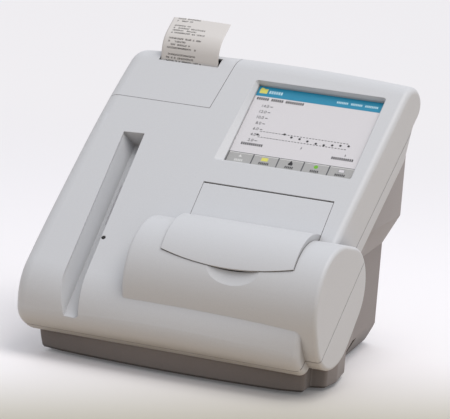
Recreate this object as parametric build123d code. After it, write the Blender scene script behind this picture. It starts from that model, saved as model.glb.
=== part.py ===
from build123d import *
from math import atan2, cos, degrees, radians, sin, sqrt, tan
import os

# Bench-top immunoassay analyzer, millimetres, +Z up, front towards -Y
# Origin: centre of the footprint at the height of the surface it stands on

# Overall size and the inclined face
WIDTH = 287.0
DEPTH = 277.0
HEIGHT = 254.0
FRONT_Y = -DEPTH / 2
REAR_Y = DEPTH / 2
FACE_TILT = 42.5
SCREEN_X = WIDTH / 2 - 88.5
SCREEN_Y = FRONT_Y + 158.2
SCREEN_Z = 209.2
WALL = 2.5
TOUCH_GAP = 0.3
SEAM_GAP = 0.4
FIT = 0.05

# White body: a slab behind the face, with a bowed nose, a sloped underside and a bowed top end
TOP_HALF = WIDTH / 2 - 8.0
WAIST_HALF = WIDTH / 2 - 14.0
WAIST_T = -140.0
LEFT_BOW_T = -60.0
LEFT_TUCK_T = -110.0
LEFT_TUCK_R = 2400.0
BOW_R = 1580.0
NOSE_R = 48.0
CHIN_R = 20.0
CHIN_Z = 33.9
CHIN_SLOPE = 29.0
RIM_R = 12.5
CREST_R = 23.0
HEEL_R = 15.0
TOP_THICK = 39.4
BODY_THICK = 54.0
STEP_T0 = 20.0
STEP_T1 = 48.0
STEP_R = 18.0
LEFT_SIDE_R = 14.0
RIGHT_SIDE_R = 5.5
SEAM_DEPTH = 37.0
SEAM_GROOVE = 0.9
GROOVE_DEPTH = 1.3

# Drum over the cartridge compartment
DRUM_Y = FRONT_Y + 54.0
DRUM_Z = 80.5
DRUM_R = 50.5
DRUM_LEFT = -37.5
DRUM_EDGE_R = 3.5
HAUNCH_Y = DRUM_Y + 22.5
HAUNCH_Z = DRUM_Z + 7.5
HAUNCH_R = 38.5
TOE_Y = DRUM_Y - 2.5
TOE_Z = DRUM_Z - 14.5
TOE_R = 42.5

# Cartridge door
DOOR_LEFT = -11.5
DOOR_RIGHT = WIDTH / 2 - 32.0
DOOR_TOP_T = -75.0
DOOR_LOW_T = -125.0
DOOR_LEAN = 2.4
DOOR_WALL = 2.4
DOOR_SKIRT = 2.0
COVER_Y = DRUM_Y + 3.0
COVER_Z = DRUM_Z + 3.0
COVER_R = DRUM_R + 2.0
LIP_ANGLE = 62.0
DOOR_BARREL_R = 2.2
DOOR_PIN_R = 1.1
DOOR_PIN_LEN = 8.0
LIP_R = 230.0
LIP_S = 3.4
LIP_SHIFT = 4.0
SCOOP_ANGLE = 60.0
SCOOP_X = 62.0
SCOOP_BALL_R = 85.0
SCOOP_DEPTH = 3.5

# Touch screen
SCREEN_W = 120.6
SCREEN_H = 90.5
RECESS_DEPTH = 4.0
GLASS_LAP = 2.0
GLASS_THICK = 1.2
PANEL_THICK = 5.3
STANDOFF = 6.0
BOARD_THICK = 1.6

# Barcode track
TRACK_X = -WIDTH / 2 + 49.5
TRACK_T = -33.0
TRACK_W = 14.1
TRACK_LEAN = 3.4
TRACK_LEN = 200.0
TRACK_SKEW = 5.4
TRACK_DEPTH = 18.5
TRACK_FLARE = 20.0
TRACK_FLARE_REACH = 6.0
WINDOW_W = 8.0
WINDOW_L = 44.0
WINDOW_T = -70.0
READER_W = 22.0
READER_DEPTH = 16.0
LAMP_X = TRACK_X + 16.5
LAMP_T = -152.4
LAMP_R = 2.0

# Printer
COVER_SEAM_T = 7.0
COVER_SEAM_X = -38.8
COVER_SEAM_LEAN = 4.7
COVER_SIDE_N = -18.0
LID_PIVOT_T = 69.5
LID_PIVOT_N = -20.0
LID_PIVOT_R = 11.2
LID_PIN_R = 1.5
PAPER_W = 57.0
PAPER_X = -WIDTH / 2 + 65.0
PAPER_Y = SCREEN_Y + 42.3
PAPER_THICK = 0.3
PAPER_CURL_R = 24.0
PAPER_CURL = 50.0
PAPER_TIP = 17.0
SLOT_T0 = 54.0
SLOT_T1 = 66.0
SLOT_W = 59.0
LUG_R = 3.0
LUG_W = 3.5
HEAD_T = 3.0
HEAD_LOW = 6.0
HEAD_HIGH = 4.0
PAPER_CLEAR = 0.15
GEAR_W = 3.0
PAPER_MODULE = 0.8
PLATEN_TEETH = 18
PINION_TEETH = 10
PAPER_MOTOR_R = 5.0
PAPER_MOTOR_LEN = 18.0
PAPER_AXLE_R = 1.0
PLATEN_AXLE_R = 2.0
LEVER_T = 44.0
LEVER_N = -16.0
LEVER_PIN_R = 2.0
LEVER_HUB_R = 5.0
LEVER_LEN = 26.0
ROLL_R = 19.0
ROLL_Y = SCREEN_Y + 43.8
ROLL_Z = 205.0
CRADLE_GAP = 1.5
CRADLE_WALL = 2.5
CORE_R = 8.0
SPINDLE_R = 5.0
PLATEN_R = 5.0
PLATEN_Z = 235.0
BAY_WALL = 3.5
BAY_SIDE_GAP = 1.5
BAY_TOP_N = -6.0
BAY_DEEP_T = 50.0
BAY_REAR_T = 62.0

# Grey lower body
BASE_Z = 3.0
BASE_FRONT_Y = FRONT_Y + 24.5
LIP_X = WIDTH / 2 - 19.5
LIP_Y = FRONT_Y + 34.5
BASE_CORNER = (-130.0, FRONT_Y + 37.0)
BASE_WAIST = (124.5, FRONT_Y + 130.0)
BASE_MID = (111.5, FRONT_Y + 178.0)
BASE_REAR_HALF = 96.5
SKIRT_Z = 23.0
SKIRT_LEFT = 7.0
SKIRT_RIGHT = 10.5
LEDGE_Z = 97.0
SHOULDER_Z = 125.0
ROOF_REAR_Z = 184.0
FOOT_R = 9.0
ROOF_TILT = 31.0
HOUSING_R = 14.0
DRAWER_X = -50.0
DRAWER_W = 60.0
DRAWER_D = 64.0
DRAWER_H = 14.0
DRAWER_Z = 12.0
DRAWER_WALL = 2.0
DRAWER_FRONT = 3.0
DRAWER_GRIP_W = 20.0
INLET_GAP = 0.2
INLET_X = 53.8
INLET_W = 27.6
INLET_D = 30.0
INLET_Z0 = 28.0
INLET_Z1 = 48.6
INLET_MOUTH_W = 21.6
INLET_MOUTH_D = 18.0
INLET_MOUTH_Z0 = 31.3
INLET_MOUTH_Z1 = 45.3
FLANGE = 6.0
FLANGE_THICK = 1.5
SWITCH_X = 16.0
SWITCH_Z = 39.0
SWITCH_W = 16.0
SWITCH_H = 24.0
SWITCH_D = 22.0
SWITCH_RIM = 3.0
ROCKER_W = 12.0
ROCKER_GAP = 0.3
ROCKER_PIN_R = 1.2
SCREW_R = 1.6
SCREW_HEAD_R = 3.5
SCREW_BOSS_R = 5.0
CHASSIS_THICK = 1.5
SUPPLY_H = 40.0
SPEAKER_X = -45.0
SPEAKER_Y = -20.0
SPEAKER_R = 18.0

# Cartridge compartment and drive
BAY_R = 44.0
BAY_X0 = -6.0
BAY_X1 = WIDTH / 2 - 35.5
BAY_END = 3.0
BAY_SHELL = 2.2
CARRIER_R = 33.0
CARRIER_DISC = 4.0
CARRIER_HUB_R = 8.0
CARRIER_HALF = 11.0
SHAFT_R = 4.0
DRIVE_TEETH = 44
DRIVE_PINION_TEETH = 12
DRIVE_MODULE = 1.0
DRIVE_GEAR_X = -14.0
DRIVE_GEAR_W = 6.0
CARTRIDGE_W = 14.0
CARTRIDGE_L = 46.0

LEGS = (BAY_X0 + 18.0, BAY_X1 - 14.0)
LEG_W = 8.0
TAB_Y = DRUM_Y + 4.5
TAB_Z = DRUM_Z + 15.5
TAB_R = 2.0
BRACKET_X = -17.0
BRACKET_THICK = 2.0
MOTOR_SIZE = 28.0
MOTOR_SHAFT_R = 1.5
PILOT_R = 5.0
POST_Z = 17.0
HEATER_THICK = 1.2
OPTICS_W = 24.0
OPTICS_HALF_Z = 18.0
BEAM_Y = DRUM_Y - 10.0
BEAM_R = 5.0
BULB_R = 4.0
ROCKER_TILT = 7.0
ROCKER_IN = 4.4
LEVER_REST = 40.0
FOOT_PLACES = (
    (-98.0, FRONT_Y + 54.5), (104.0, FRONT_Y + 58.5), (-76.0, REAR_Y - 26.5), (76.0, REAR_Y - 26.5))

# Rear panel, fan and boards
FAN_X = -42.0
FAN_Z = 142.0
FAN_SIZE = 60.0
FAN_THICK = 20.0
FAN_GRILLE_R = 27.0
FAN_STRUT = 3.0
FAN_HUB_R = 10.0
FAN_POST_R = 1.5
FAN_BLADES = 7
GRILLE_STEP = 6.0
GRILLE_GAP = 3.0
BOARD_X0 = 4.0
BOARD_X1 = 92.0
BOARD_Y0 = REAR_Y - 26.5
BOARD_Z = 128.4
SHELF_H = 8.0

FAR = 400.0

S = sin(radians(FACE_TILT))
C = cos(radians(FACE_TILT))
FACE = Plane(origin=(0, SCREEN_Y, SCREEN_Z), x_dir=(1, 0, 0), z_dir=(0, -S, C)).location


def yz(t, n):
    """Side-view point (y, z) of a place t up the face and n above it."""
    return (SCREEN_Y + t * C - n * S, SCREEN_Z + t * S + n * C)


def tn(y, z):
    """Place on the face (t, n) of a side-view point (y, z)."""
    return ((y - SCREEN_Y) * C + (z - SCREEN_Z) * S, -(y - SCREEN_Y) * S + (z - SCREEN_Z) * C)


def block(x0, x1, y0, y1, z0, z1):
    """Box between two corners in the row frame."""
    return Pos((x0 + x1) / 2, (y0 + y1) / 2, (z0 + z1) / 2) * Box(x1 - x0, y1 - y0, z1 - z0)


def face_block(x0, x1, t0, t1, n0, n1):
    """Box between two corners in the frame of the inclined face."""
    return FACE * Pos((x0 + x1) / 2, (t0 + t1) / 2, (n0 + n1) / 2) * Box(x1 - x0, t1 - t0, n1 - n0)


def rod(x0, x1, y, z, r):
    """Cylinder along X."""
    return Pos((x0 + x1) / 2, y, z) * Rot(0, 90, 0) * Cylinder(r, x1 - x0)


def face_rod(x0, x1, t, n, r):
    """Cylinder along X placed in face coordinates."""
    y, z = yz(t, n)
    return rod(x0, x1, y, z, r)


def long_edges(solid, points, reach=3.5):
    """Edges that pass the given side-view points and run across the body."""
    found = []
    for y, z in points:
        for edge in solid.edges():
            mid = edge.position_at(0.5)
            if abs(mid.Y - y) < reach and abs(mid.Z - z) < reach and edge.length > WIDTH * 0.4:
                found.append(edge)
    return found


def face_outline(inset):
    """Side walls seen square to the face: a bowed left side and a tapered right side."""
    top_t = 120.0
    low_t = -260.0
    lean = (TOP_HALF - WAIST_HALF) / (STEP_T1 - WAIST_T)
    top_x = TOP_HALF + lean * (top_t - STEP_T1) - inset
    left_x = -WIDTH / 2 + inset
    bow_r = BOW_R - inset
    tuck_r = LEFT_TUCK_R - inset

    def bowed(t):
        return (left_x + bow_r - sqrt(bow_r ** 2 - (t - LEFT_BOW_T) ** 2), t)

    def drawn_in(t):
        return (left_x + tuck_r - sqrt(tuck_r ** 2 - (t - LEFT_TUCK_T) ** 2), t)

    left = ThreePointArc(bowed(top_t), bowed((top_t + LEFT_BOW_T) / 2), (left_x, LEFT_BOW_T))
    tuck = ThreePointArc((left_x, LEFT_TUCK_T), drawn_in((low_t + LEFT_TUCK_T) / 2), drawn_in(low_t))
    wall = Line((left_x, LEFT_BOW_T), (left_x, LEFT_TUCK_T))
    sides = Polyline(
        drawn_in(low_t),
        (WAIST_HALF - inset, low_t),
        (WAIST_HALF - inset, WAIST_T),
        (top_x, top_t),
        bowed(top_t),
    )
    face = make_face([left, wall, tuck, sides])
    return FACE * Pos(0, 0, -FAR / 2) * extrude(face, amount=FAR, dir=(0, 0, 1))


def slab(inset):
    """The tilted white slab, shrunk by inset all round."""
    front_y = FRONT_Y + inset
    face_z = yz(0, -inset)[1] + (front_y - yz(0, -inset)[0]) * S / C
    fall = tan(radians(CHIN_SLOPE))
    chin_z = CHIN_Z + inset / cos(radians(CHIN_SLOPE)) - inset * fall
    back_n = -BODY_THICK + inset
    rim_y = (SCREEN_Y * S + (chin_z + front_y * fall - SCREEN_Z) * C - back_n) / (S + fall * C)
    end_t = yz_top_t() - inset
    points = [
        (front_y, chin_z),
        (rim_y, chin_z - (rim_y - front_y) * fall),
        yz(STEP_T0, back_n),
        yz(STEP_T1, -TOP_THICK + inset),
        yz(end_t, -TOP_THICK + inset),
        yz(end_t, -inset),
        (front_y, face_z),
    ]
    profile = Polygon(*points, align=None)
    steps = [v for v in profile.vertices() if min(
        (Vector(v.X, v.Y) - Vector(*points[2])).length, (Vector(v.X, v.Y) - Vector(*points[3])).length) < 1]
    profile = fillet(steps, STEP_R)
    rims = [v for v in profile.vertices() if (Vector(v.X, v.Y) - Vector(*points[1])).length < 1]
    profile = fillet(rims, RIM_R - inset)
    span = WIDTH + 16
    body = Pos(-span / 2, 0, 0) * extrude(Plane.YZ * profile, amount=span, dir=(1, 0, 0))
    body &= Pos(0, front_y + BOW_R - inset, 0) * Cylinder(BOW_R - inset, 3 * FAR)
    body &= FACE * Pos(0, end_t - BOW_R + inset, 0) * Cylinder(BOW_R - inset, 3 * FAR)
    body = fillet(long_edges(body, [points[6]]), NOSE_R - inset)
    body = fillet(long_edges(body, [points[0]]), CHIN_R - inset)
    body = fillet(long_edges(body, [points[5]]), CREST_R - inset)
    body = fillet(long_edges(body, [points[4]]), HEEL_R - inset)
    return body & face_outline(inset)


def yz_top_t():
    """Place of the top end up the face, so that the crest is at full height."""
    crest_n = -CREST_R
    crest_t = (HEIGHT - CREST_R - SCREEN_Z - crest_n * C) / S
    return crest_t + CREST_R


def drum(inset):
    """Round drum across the face; its right end has a haunch to the back and a toe below."""
    left = rod(DRUM_LEFT + inset, WIDTH / 2 - inset, DRUM_Y, DRUM_Z, DRUM_R - inset)
    left = fillet(left.edges().sort_by(Axis.X)[0], max(DRUM_EDGE_R - inset, 0.5))
    circles = ((DRUM_Y, DRUM_Z, DRUM_R), (HAUNCH_Y, HAUNCH_Z, HAUNCH_R), (TOE_Y, TOE_Z, TOE_R))
    rings = [(Pos(y, z) * Circle(r - inset)).edge() for y, z, r in circles]
    start = WAIST_HALF - 2 * WALL
    end = Pos(start, 0, 0) * extrude(
        Plane.YZ * make_hull(rings), amount=WIDTH / 2 - inset - start, dir=(1, 0, 0))
    end = fillet(end.edges().group_by(Axis.X)[-1], max(DRUM_EDGE_R - inset, 0.5))
    left -= block(start + 1, WIDTH, -FAR, FAR, -FAR, FAR)
    left &= face_block(-FAR, FAR, -FAR, FAR, -BODY_THICK + inset, FAR)
    return left + end


def above_seam(solid, gap=0.0):
    """Part of a solid on the face side of the seam plane."""
    return solid & face_block(-FAR, FAR, -FAR, FAR, -SEAM_DEPTH + gap, FAR)


def below_seam(solid, gap=0.0):
    """Part of a solid behind the seam plane."""
    return solid & face_block(-FAR, FAR, -FAR, FAR, -FAR, -SEAM_DEPTH - gap)


def track_place():
    """Frame of the barcode track: at its upper end, leaning with it."""
    return FACE * Pos(TRACK_X, TRACK_T, 0) * Rot(0, 0, TRACK_LEAN)


def track_prism(grow, flare=0.0):
    """Leaning prism of the barcode track, square to the face, grown by a margin."""
    half = TRACK_W / 2 + grow
    low = -TRACK_LEN - grow
    face = Polygon((-half, grow), (half, grow), (half, low + TRACK_SKEW), (-half, low), align=None)
    place = track_place()
    if flare:
        hinge = Pos(-half, 0, -TRACK_DEPTH)
        place = place * hinge * Rot(0, -flare, 0) * Pos(half, 0, 0)
        return place * extrude(face, amount=TRACK_DEPTH * 3, dir=(0, 0, 1))
    return place * Pos(0, 0, -TRACK_DEPTH * 4) * extrude(face, amount=TRACK_DEPTH * 6, dir=(0, 0, 1))


def gear(teeth, module, x0, width, y, z, phase):
    """Spur gear along X with straight-sided teeth, one of them at the phase angle."""
    pitch_r = teeth * module / 2
    step = 360 / teeth
    points = []
    for i in range(teeth):
        for radius, share in (
            (pitch_r - 1.2 * module, -0.31), (pitch_r, -0.21), (pitch_r + 0.85 * module, -0.10),
            (pitch_r + 0.85 * module, 0.10), (pitch_r, 0.21), (pitch_r - 1.2 * module, 0.31),
        ):
            a = radians(phase + step * (i + share))
            points.append((radius * cos(a), radius * sin(a)))
    face = Polygon(*points, align=None)
    return Pos(x0, y, z) * extrude(Plane.YZ * face, amount=width, dir=(1, 0, 0))


# Rear sockets: centre x, width, depth, height, hole width, hole height
HOLE_DEPTH = 12.0
PIN_STEP = 2.77
PIN_ROW = 2.0
PORTS = {
    "ethernet_port": (18.0, 16.0, 22.0, 13.6, 11.8, 8.4),
    "serial_port": (50.0, 31.0, 18.0, 12.6, 18.0, 9.0),
    "usb_port": (81.0, 14.4, 18.0, 7.4, 12.2, 5.0),
}


# White shells

def side_edges(body, right):
    """Edges along the right or the left side wall, without the lines that cross the wall."""
    sign = 1 if right else -1
    found = []
    for edge in body.edges():
        run = edge.position_at(1) - edge.position_at(0)
        crossing = abs(run.dot(Vector(0, -S, C))) > 0.999 * edge.length
        if edge.position_at(0.5).X * sign > WAIST_HALF - 3 and not crossing:
            found.append(edge)
    return found


def rounded_slab(inset):
    """The slab with its sides rounded over, more at the left than at the right."""
    body = slab(inset)
    body = fillet(side_edges(body, False), LEFT_SIDE_R - inset)
    return fillet(side_edges(body, True), RIGHT_SIDE_R - inset)


def white_body():
    """Outer form of the white body."""
    return rounded_slab(0) + drum(0)


def hollow():
    """Inner space of the white body."""
    return rounded_slab(WALL) + drum(WALL)


def radial(angle):
    """Unit direction (y, z) at an angle from straight up towards the front."""
    return (-sin(radians(angle)), cos(radians(angle)))


def door_region(grow):
    """Outline of the cartridge door: leaning sides, a straight top and a bowed lip."""
    left = DOOR_LEFT - grow
    right = DOOR_RIGHT + grow
    top = DOOR_TOP_T - SEAM_GAP + grow
    low = -260.0
    shift = (top - low) * tan(radians(DOOR_LEAN))
    sides = Polygon((left, top), (right, top), (right + shift, low), (left + shift, low), align=None)
    prism = FACE * Pos(0, 0, -10) * extrude(sides, amount=60, dir=(0, 0, 1))
    mid_x = (DOOR_LEFT + DOOR_RIGHT) / 2 + LIP_SHIFT
    down = (-cos(radians(LIP_ANGLE)), -sin(radians(LIP_ANGLE)))
    reach = LIP_S + grow - (LIP_R + grow)
    lip = Pos(mid_x, COVER_Y + down[0] * reach, COVER_Z + down[1] * reach)
    return prism & (lip * Rot(LIP_ANGLE, 0, 0) * Cylinder(LIP_R + grow, FAR))


def cartridge_door():
    """Flat panel with a raised curved cover, a skirt round it and the hinge barrel on top."""
    t_axis, n_axis = door_axis()
    panel = face_block(-FAR, FAR, DOOR_LOW_T, t_axis, -DOOR_WALL, 0)
    above = face_block(-FAR, FAR, -FAR, FAR, -DOOR_WALL, FAR)
    cover = rod(-FAR, FAR, COVER_Y, COVER_Z, COVER_R) & above
    body = (panel + cover) & door_region(0)
    body -= rod(-FAR, FAR, COVER_Y, COVER_Z, COVER_R - DOOR_WALL) & door_region(-DOOR_SKIRT)
    body -= rod(-FAR, FAR, DRUM_Y, DRUM_Z, DRUM_R - DOOR_WALL)
    body += face_rod(-FAR, FAR, t_axis, n_axis, DOOR_BARREL_R) & door_region(0)
    for side in door_pin_spans():
        body -= face_rod(side[0], side[1], t_axis, n_axis, DOOR_PIN_R + FIT)
    return body.solids().sort_by(SortBy.VOLUME)[-1]


def door_axis():
    """Hinge axis of the cartridge door in face coordinates."""
    return DOOR_TOP_T - SEAM_GAP - DOOR_BARREL_R, -DOOR_BARREL_R


def door_pin_spans():
    """X spans of the two hinge pins, half in the shell's bosses and half in the door."""
    reach = DOOR_PIN_LEN / 2
    return ((DOOR_LEFT - reach, DOOR_LEFT + reach), (DOOR_RIGHT - reach, DOOR_RIGHT + reach))


def lid_region(grow):
    """Outline of the printer cover, with the round heel that turns about its pivot."""
    t0 = COVER_SEAM_T - grow
    t1 = 120.0
    lean = tan(radians(COVER_SEAM_LEAN))
    x0 = COVER_SEAM_X + grow
    x1 = x0 + (t1 - COVER_SEAM_T) * lean
    plan = Polygon((-FAR / 2, t0), (x0, t0), (x1, t1), (-FAR / 2, t1), align=None)
    top = FACE * Pos(0, 0, COVER_SIDE_N - grow) * extrude(plan, amount=FAR / 4, dir=(0, 0, 1))
    heel_t = LID_PIVOT_T + (LID_PIVOT_R if grow > 0 else -LID_PIVOT_R)
    heel_x = x0 + (heel_t - COVER_SEAM_T) * lean
    return top + face_rod(-FAR / 2, heel_x, LID_PIVOT_T, LID_PIVOT_N, LID_PIVOT_R + grow)


def printer_cover(outer, inner):
    """Lid over the paper bay, with its paper slot and two hinge lugs."""
    body = (outer - inner) & lid_region(0)
    body -= face_block(PAPER_X - SLOT_W / 2, PAPER_X + SLOT_W / 2, SLOT_T0, SLOT_T1, -FAR / 20, FAR)
    for x0, x1 in lug_spans():
        lug = face_rod(x0, x1, LID_PIVOT_T, LID_PIVOT_N, LUG_R)
        web = face_block(x0, x1, LID_PIVOT_T - LUG_R, LID_PIVOT_T + LUG_R, LID_PIVOT_N, FAR / 20) & inner
        body += lug + web - face_rod(x0 - 1, x1 + 1, LID_PIVOT_T, LID_PIVOT_N, LID_PIN_R + FIT)
    return body


def bay_planes():
    """X planes of the printer bay: outer left, inner left, inner right, outer right."""
    inner = PAPER_W / 2 + BAY_SIDE_GAP
    return (
        PAPER_X - inner - BAY_WALL, PAPER_X - inner, PAPER_X + inner, PAPER_X + inner + BAY_WALL)


def lug_spans():
    """X spans of the lid's lugs, just inside the bay's side plates."""
    b, c = bay_planes()[1:3]
    return ((b + TOUCH_GAP, b + TOUCH_GAP + LUG_W), (c - TOUCH_GAP - LUG_W, c - TOUCH_GAP))


def behind(depth):
    """All that lies deeper than a depth under the face."""
    return face_block(-FAR, FAR, -FAR, FAR, -FAR, -depth)


def front_shell(outer, inner):
    """Front shell with the screen recess, the track, and the openings for door and lid."""
    body = outer - inner
    screen = [SCREEN_X - SCREEN_W / 2, SCREEN_X + SCREEN_W / 2, -SCREEN_H / 2, SCREEN_H / 2]
    body += face_block(screen[0] - 9, screen[1] + 4, screen[2] - 10, screen[3] + 4,
                       -RECESS_DEPTH - WALL, -WALL / 2)
    wide = track_prism(WALL, TRACK_FLARE) & track_prism(TRACK_FLARE_REACH + WALL)
    body += ((track_prism(WALL) + wide) & inner) - behind(TRACK_DEPTH + WALL)
    body += scoop_ball(SCOOP_BALL_R + WALL) & outer & face_block(-FAR, FAR, -FAR, FAR, -10, FAR)
    for x0, x1 in door_pin_spans():
        t, n = door_axis()
        body += face_block(x0 - 1, x1 + 1, t - 4, t + 4, n - 4, -WALL / 2)
    body = above_seam(body)
    body -= door_region(SEAM_GAP) & face_block(-FAR, FAR, -FAR, FAR, -3 * WALL, FAR)
    body -= lid_region(SEAM_GAP)
    body -= screen_cut()
    wide = track_prism(0, TRACK_FLARE) & track_prism(TRACK_FLARE_REACH)
    body -= (track_prism(0) + wide) - behind(TRACK_DEPTH)
    body -= scoop_ball(SCOOP_BALL_R)
    body -= window_block(0)
    body -= FACE * Pos(LAMP_X, LAMP_T, 0) * Cylinder(LAMP_R, 4 * WALL)
    for x0, x1 in door_pin_spans():
        t, n = door_axis()
        body -= face_rod(x0, x1, t, n, DOOR_PIN_R + FIT)
    return body.solids().sort_by(SortBy.VOLUME)[-1]


def screen_cut():
    """Stepped recess of the touch screen, wider at the left and below, and its window."""
    x0, x1 = SCREEN_X - SCREEN_W / 2, SCREEN_X + SCREEN_W / 2
    t0, t1 = -SCREEN_H / 2, SCREEN_H / 2
    rim = Polygon((x0 - 7.5, t0 - 4.2), (x1 + 2.2, t0 - 4.2), (x1 + 2.2, t1 + 1.2), (x0 - 3, t1 + 1.2),
                  align=None)
    rim = fillet(rim.vertices(), 3.0)
    floor = Pos(0, 0, -RECESS_DEPTH) * (Pos(SCREEN_X, 0) * Rectangle(SCREEN_W, SCREEN_H))
    floor = fillet(floor.vertices(), 1.5)
    cut = loft([floor.face(), rim.face()], ruled=True)
    cut += extrude(rim, amount=10, dir=(0, 0, 1))
    cut += Pos(SCREEN_X, 0, -RECESS_DEPTH - WALL) * Box(SCREEN_W, SCREEN_H, 4 * WALL)
    return FACE * cut


def scoop_ball(radius):
    """Ball that hollows the finger scoop under the door's lip."""
    y, z = radial(SCOOP_ANGLE)
    reach = DRUM_R + SCOOP_BALL_R - SCOOP_DEPTH
    return Pos(SCOOP_X, DRUM_Y + y * reach, DRUM_Z + z * reach) * Sphere(radius)


def window_block(gap):
    """Window of the barcode reader in the floor of the track."""
    size = Box(WINDOW_W - 2 * gap, WINDOW_L - 2 * gap, WALL)
    return track_place() * Pos(0, WINDOW_T, -TRACK_DEPTH - WALL / 2) * size


def rear_shell(outer, inner):
    """Rear half of the white body, a frame with openings towards the base."""
    body = below_seam(outer - inner)
    skin = outer - slab(GROOVE_DEPTH) - drum(GROOVE_DEPTH)
    body -= skin & face_block(-FAR, FAR, -FAR, FAR, -SEAM_DEPTH - SEAM_GROOVE, -SEAM_DEPTH)
    back = -BODY_THICK - 1
    body -= face_block(-52, 118, -207, -62, back, -SEAM_DEPTH - 1)
    body -= face_block(-22, 118, -52, 10, back, -SEAM_DEPTH - 1)
    a, d = bay_planes()[::3]
    body -= face_block(a - TOUCH_GAP, d + TOUCH_GAP, 3, BAY_DEEP_T + TOUCH_GAP, back, -TOP_THICK + WALL + 1)
    return body.solids().sort_by(SortBy.VOLUME)[-1]


# Grey lower body

def base_outline(inset):
    """Plan of the grey base: bowed front, a notch and a bulge under the drum, a narrower rear."""
    right = [
        (105, FRONT_Y + 31), (124.5, FRONT_Y + 38.5), (121.5, FRONT_Y + 59.5), (133, FRONT_Y + 67),
        (133, FRONT_Y + 92), BASE_WAIST, BASE_MID, (BASE_REAR_HALF, REAR_Y),
    ]
    left = [(-BASE_REAR_HALF, REAR_Y), (-BASE_MID[0], BASE_MID[1]), (-BASE_WAIST[0], BASE_WAIST[1]),
            BASE_CORNER, (-105, FRONT_Y + 31)]
    lines = [ThreePointArc(left[-1], (0, BASE_FRONT_Y), right[0]), Polyline(*right, *left)]
    face = make_face(lines)
    radii = {1: 4.0, 2: 3.0, 3: 5.0, 4: 20.0, 5: 8.0, 6: 30.0, 7: HOUSING_R, 8: HOUSING_R, 9: 30.0,
             10: 20.0, 11: 6.0}
    points = right + left
    for index, radius in radii.items():
        target = Vector(*points[index])
        corner = [v for v in face.vertices() if (Vector(v.X, v.Y) - target).length < 0.1]
        face = fillet(corner, radius)
    if inset > 0:
        face = offset(face, -inset)
    return face


def skirt(inset):
    """Wedges that slant the lower side walls inwards, one along each straight stretch of the plan."""
    margin = 15.0
    reach = 60.0
    walls = (
        (BASE_WAIST, BASE_MID, SKIRT_RIGHT, 0.0),
        (BASE_MID, (BASE_REAR_HALF, REAR_Y), SKIRT_RIGHT, margin),
        ((-BASE_REAR_HALF, REAR_Y), (-BASE_MID[0], BASE_MID[1]), SKIRT_LEFT, margin),
        ((-BASE_MID[0], BASE_MID[1]), (-BASE_WAIST[0], BASE_WAIST[1]), SKIRT_LEFT, margin),
        ((-BASE_WAIST[0], BASE_WAIST[1]), BASE_CORNER, SKIRT_LEFT, margin),
    )
    wedges = None
    for (x0, y0), (x1, y1), inwards, lead in walls:
        length = sqrt((x1 - x0) ** 2 + (y1 - y0) ** 2)
        heading = Plane(origin=(x0, y0, SKIRT_Z), x_dir=(y1 - y0, x0 - x1, 0), z_dir=(0, 0, 1)).location
        slant = Rot(0, degrees(atan2(inwards, SKIRT_Z - BASE_Z)), 0)
        size = Box(reach, length + lead + margin, reach)
        wedge = heading * slant * Pos(reach / 2 - inset, (length + margin - lead) / 2, -reach / 2) * size
        wedges = wedge if wedges is None else wedges + wedge
    return wedges


def base_form(inset, low):
    """The base's solid form from a height up, with its slanted lower sides."""
    return Pos(0, 0, low) * extrude(base_outline(inset), amount=LEDGE_Z - low, dir=(0, 0, 1))


def base_tray(outer):
    """Grey base with its floor, screw bosses and the runner of the filter drawer."""
    floor_z = BASE_Z + WALL
    body = chamfer(base_form(0, BASE_Z).edges().group_by(Axis.Z)[0], 2.0)
    body -= skirt(0)
    body -= base_form(WALL, floor_z) - skirt(WALL)
    under_nose = block(-FAR, LIP_X, -FAR, LIP_Y, -FAR, FAR)
    body -= face_block(-FAR, FAR, -FAR, FAR, -BODY_THICK, FAR) - under_nose
    body -= outer
    body = body.solids().sort_by(SortBy.VOLUME)[-1]
    x0, x1, y0, y1, z0, z1 = drawer_box(0)
    body += block(x0 - 2 * WALL, x1 + 2 * WALL, y0 - WALL, REAR_Y - WALL / 2, floor_z - WALL / 2, z1)
    body -= drawer_box_solid(TOUCH_GAP)
    for x, y in screw_places():
        body += Pos(x, y, floor_z) * Cylinder(
            SCREW_BOSS_R, 7, align=(Align.CENTER, Align.CENTER, Align.MIN))
        body -= Pos(x, y, 0) * Cylinder(SCREW_R + 0.1, 40)
        body -= Pos(x, y, 0) * Cylinder(SCREW_HEAD_R + 0.5, 2 * (BASE_Z + 3))
    body -= inlet_block(INLET_GAP)
    body -= switch_block(INLET_GAP)
    return body.solids().sort_by(SortBy.VOLUME)[-1]


def drawer_box(gap):
    """Corners of the space that the filter drawer fills."""
    return (DRAWER_X - DRAWER_W / 2 - gap, DRAWER_X + DRAWER_W / 2 + gap, REAR_Y - DRAWER_D - gap,
            REAR_Y, DRAWER_Z - gap, DRAWER_Z + DRAWER_H + gap)


def drawer_box_solid(gap):
    """Space that the filter drawer slides in, open at the rear."""
    x0, x1, y0, y1, z0, z1 = drawer_box(gap)
    return block(x0, x1, y0, REAR_Y + 10, z0, z1)


def screw_places():
    """Places of the case screws under the base."""
    return (
        (-95, FRONT_Y + 78.5), (95, FRONT_Y + 93.5), (-88, REAR_Y - 98.5), (60, REAR_Y - 20.5))


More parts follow.
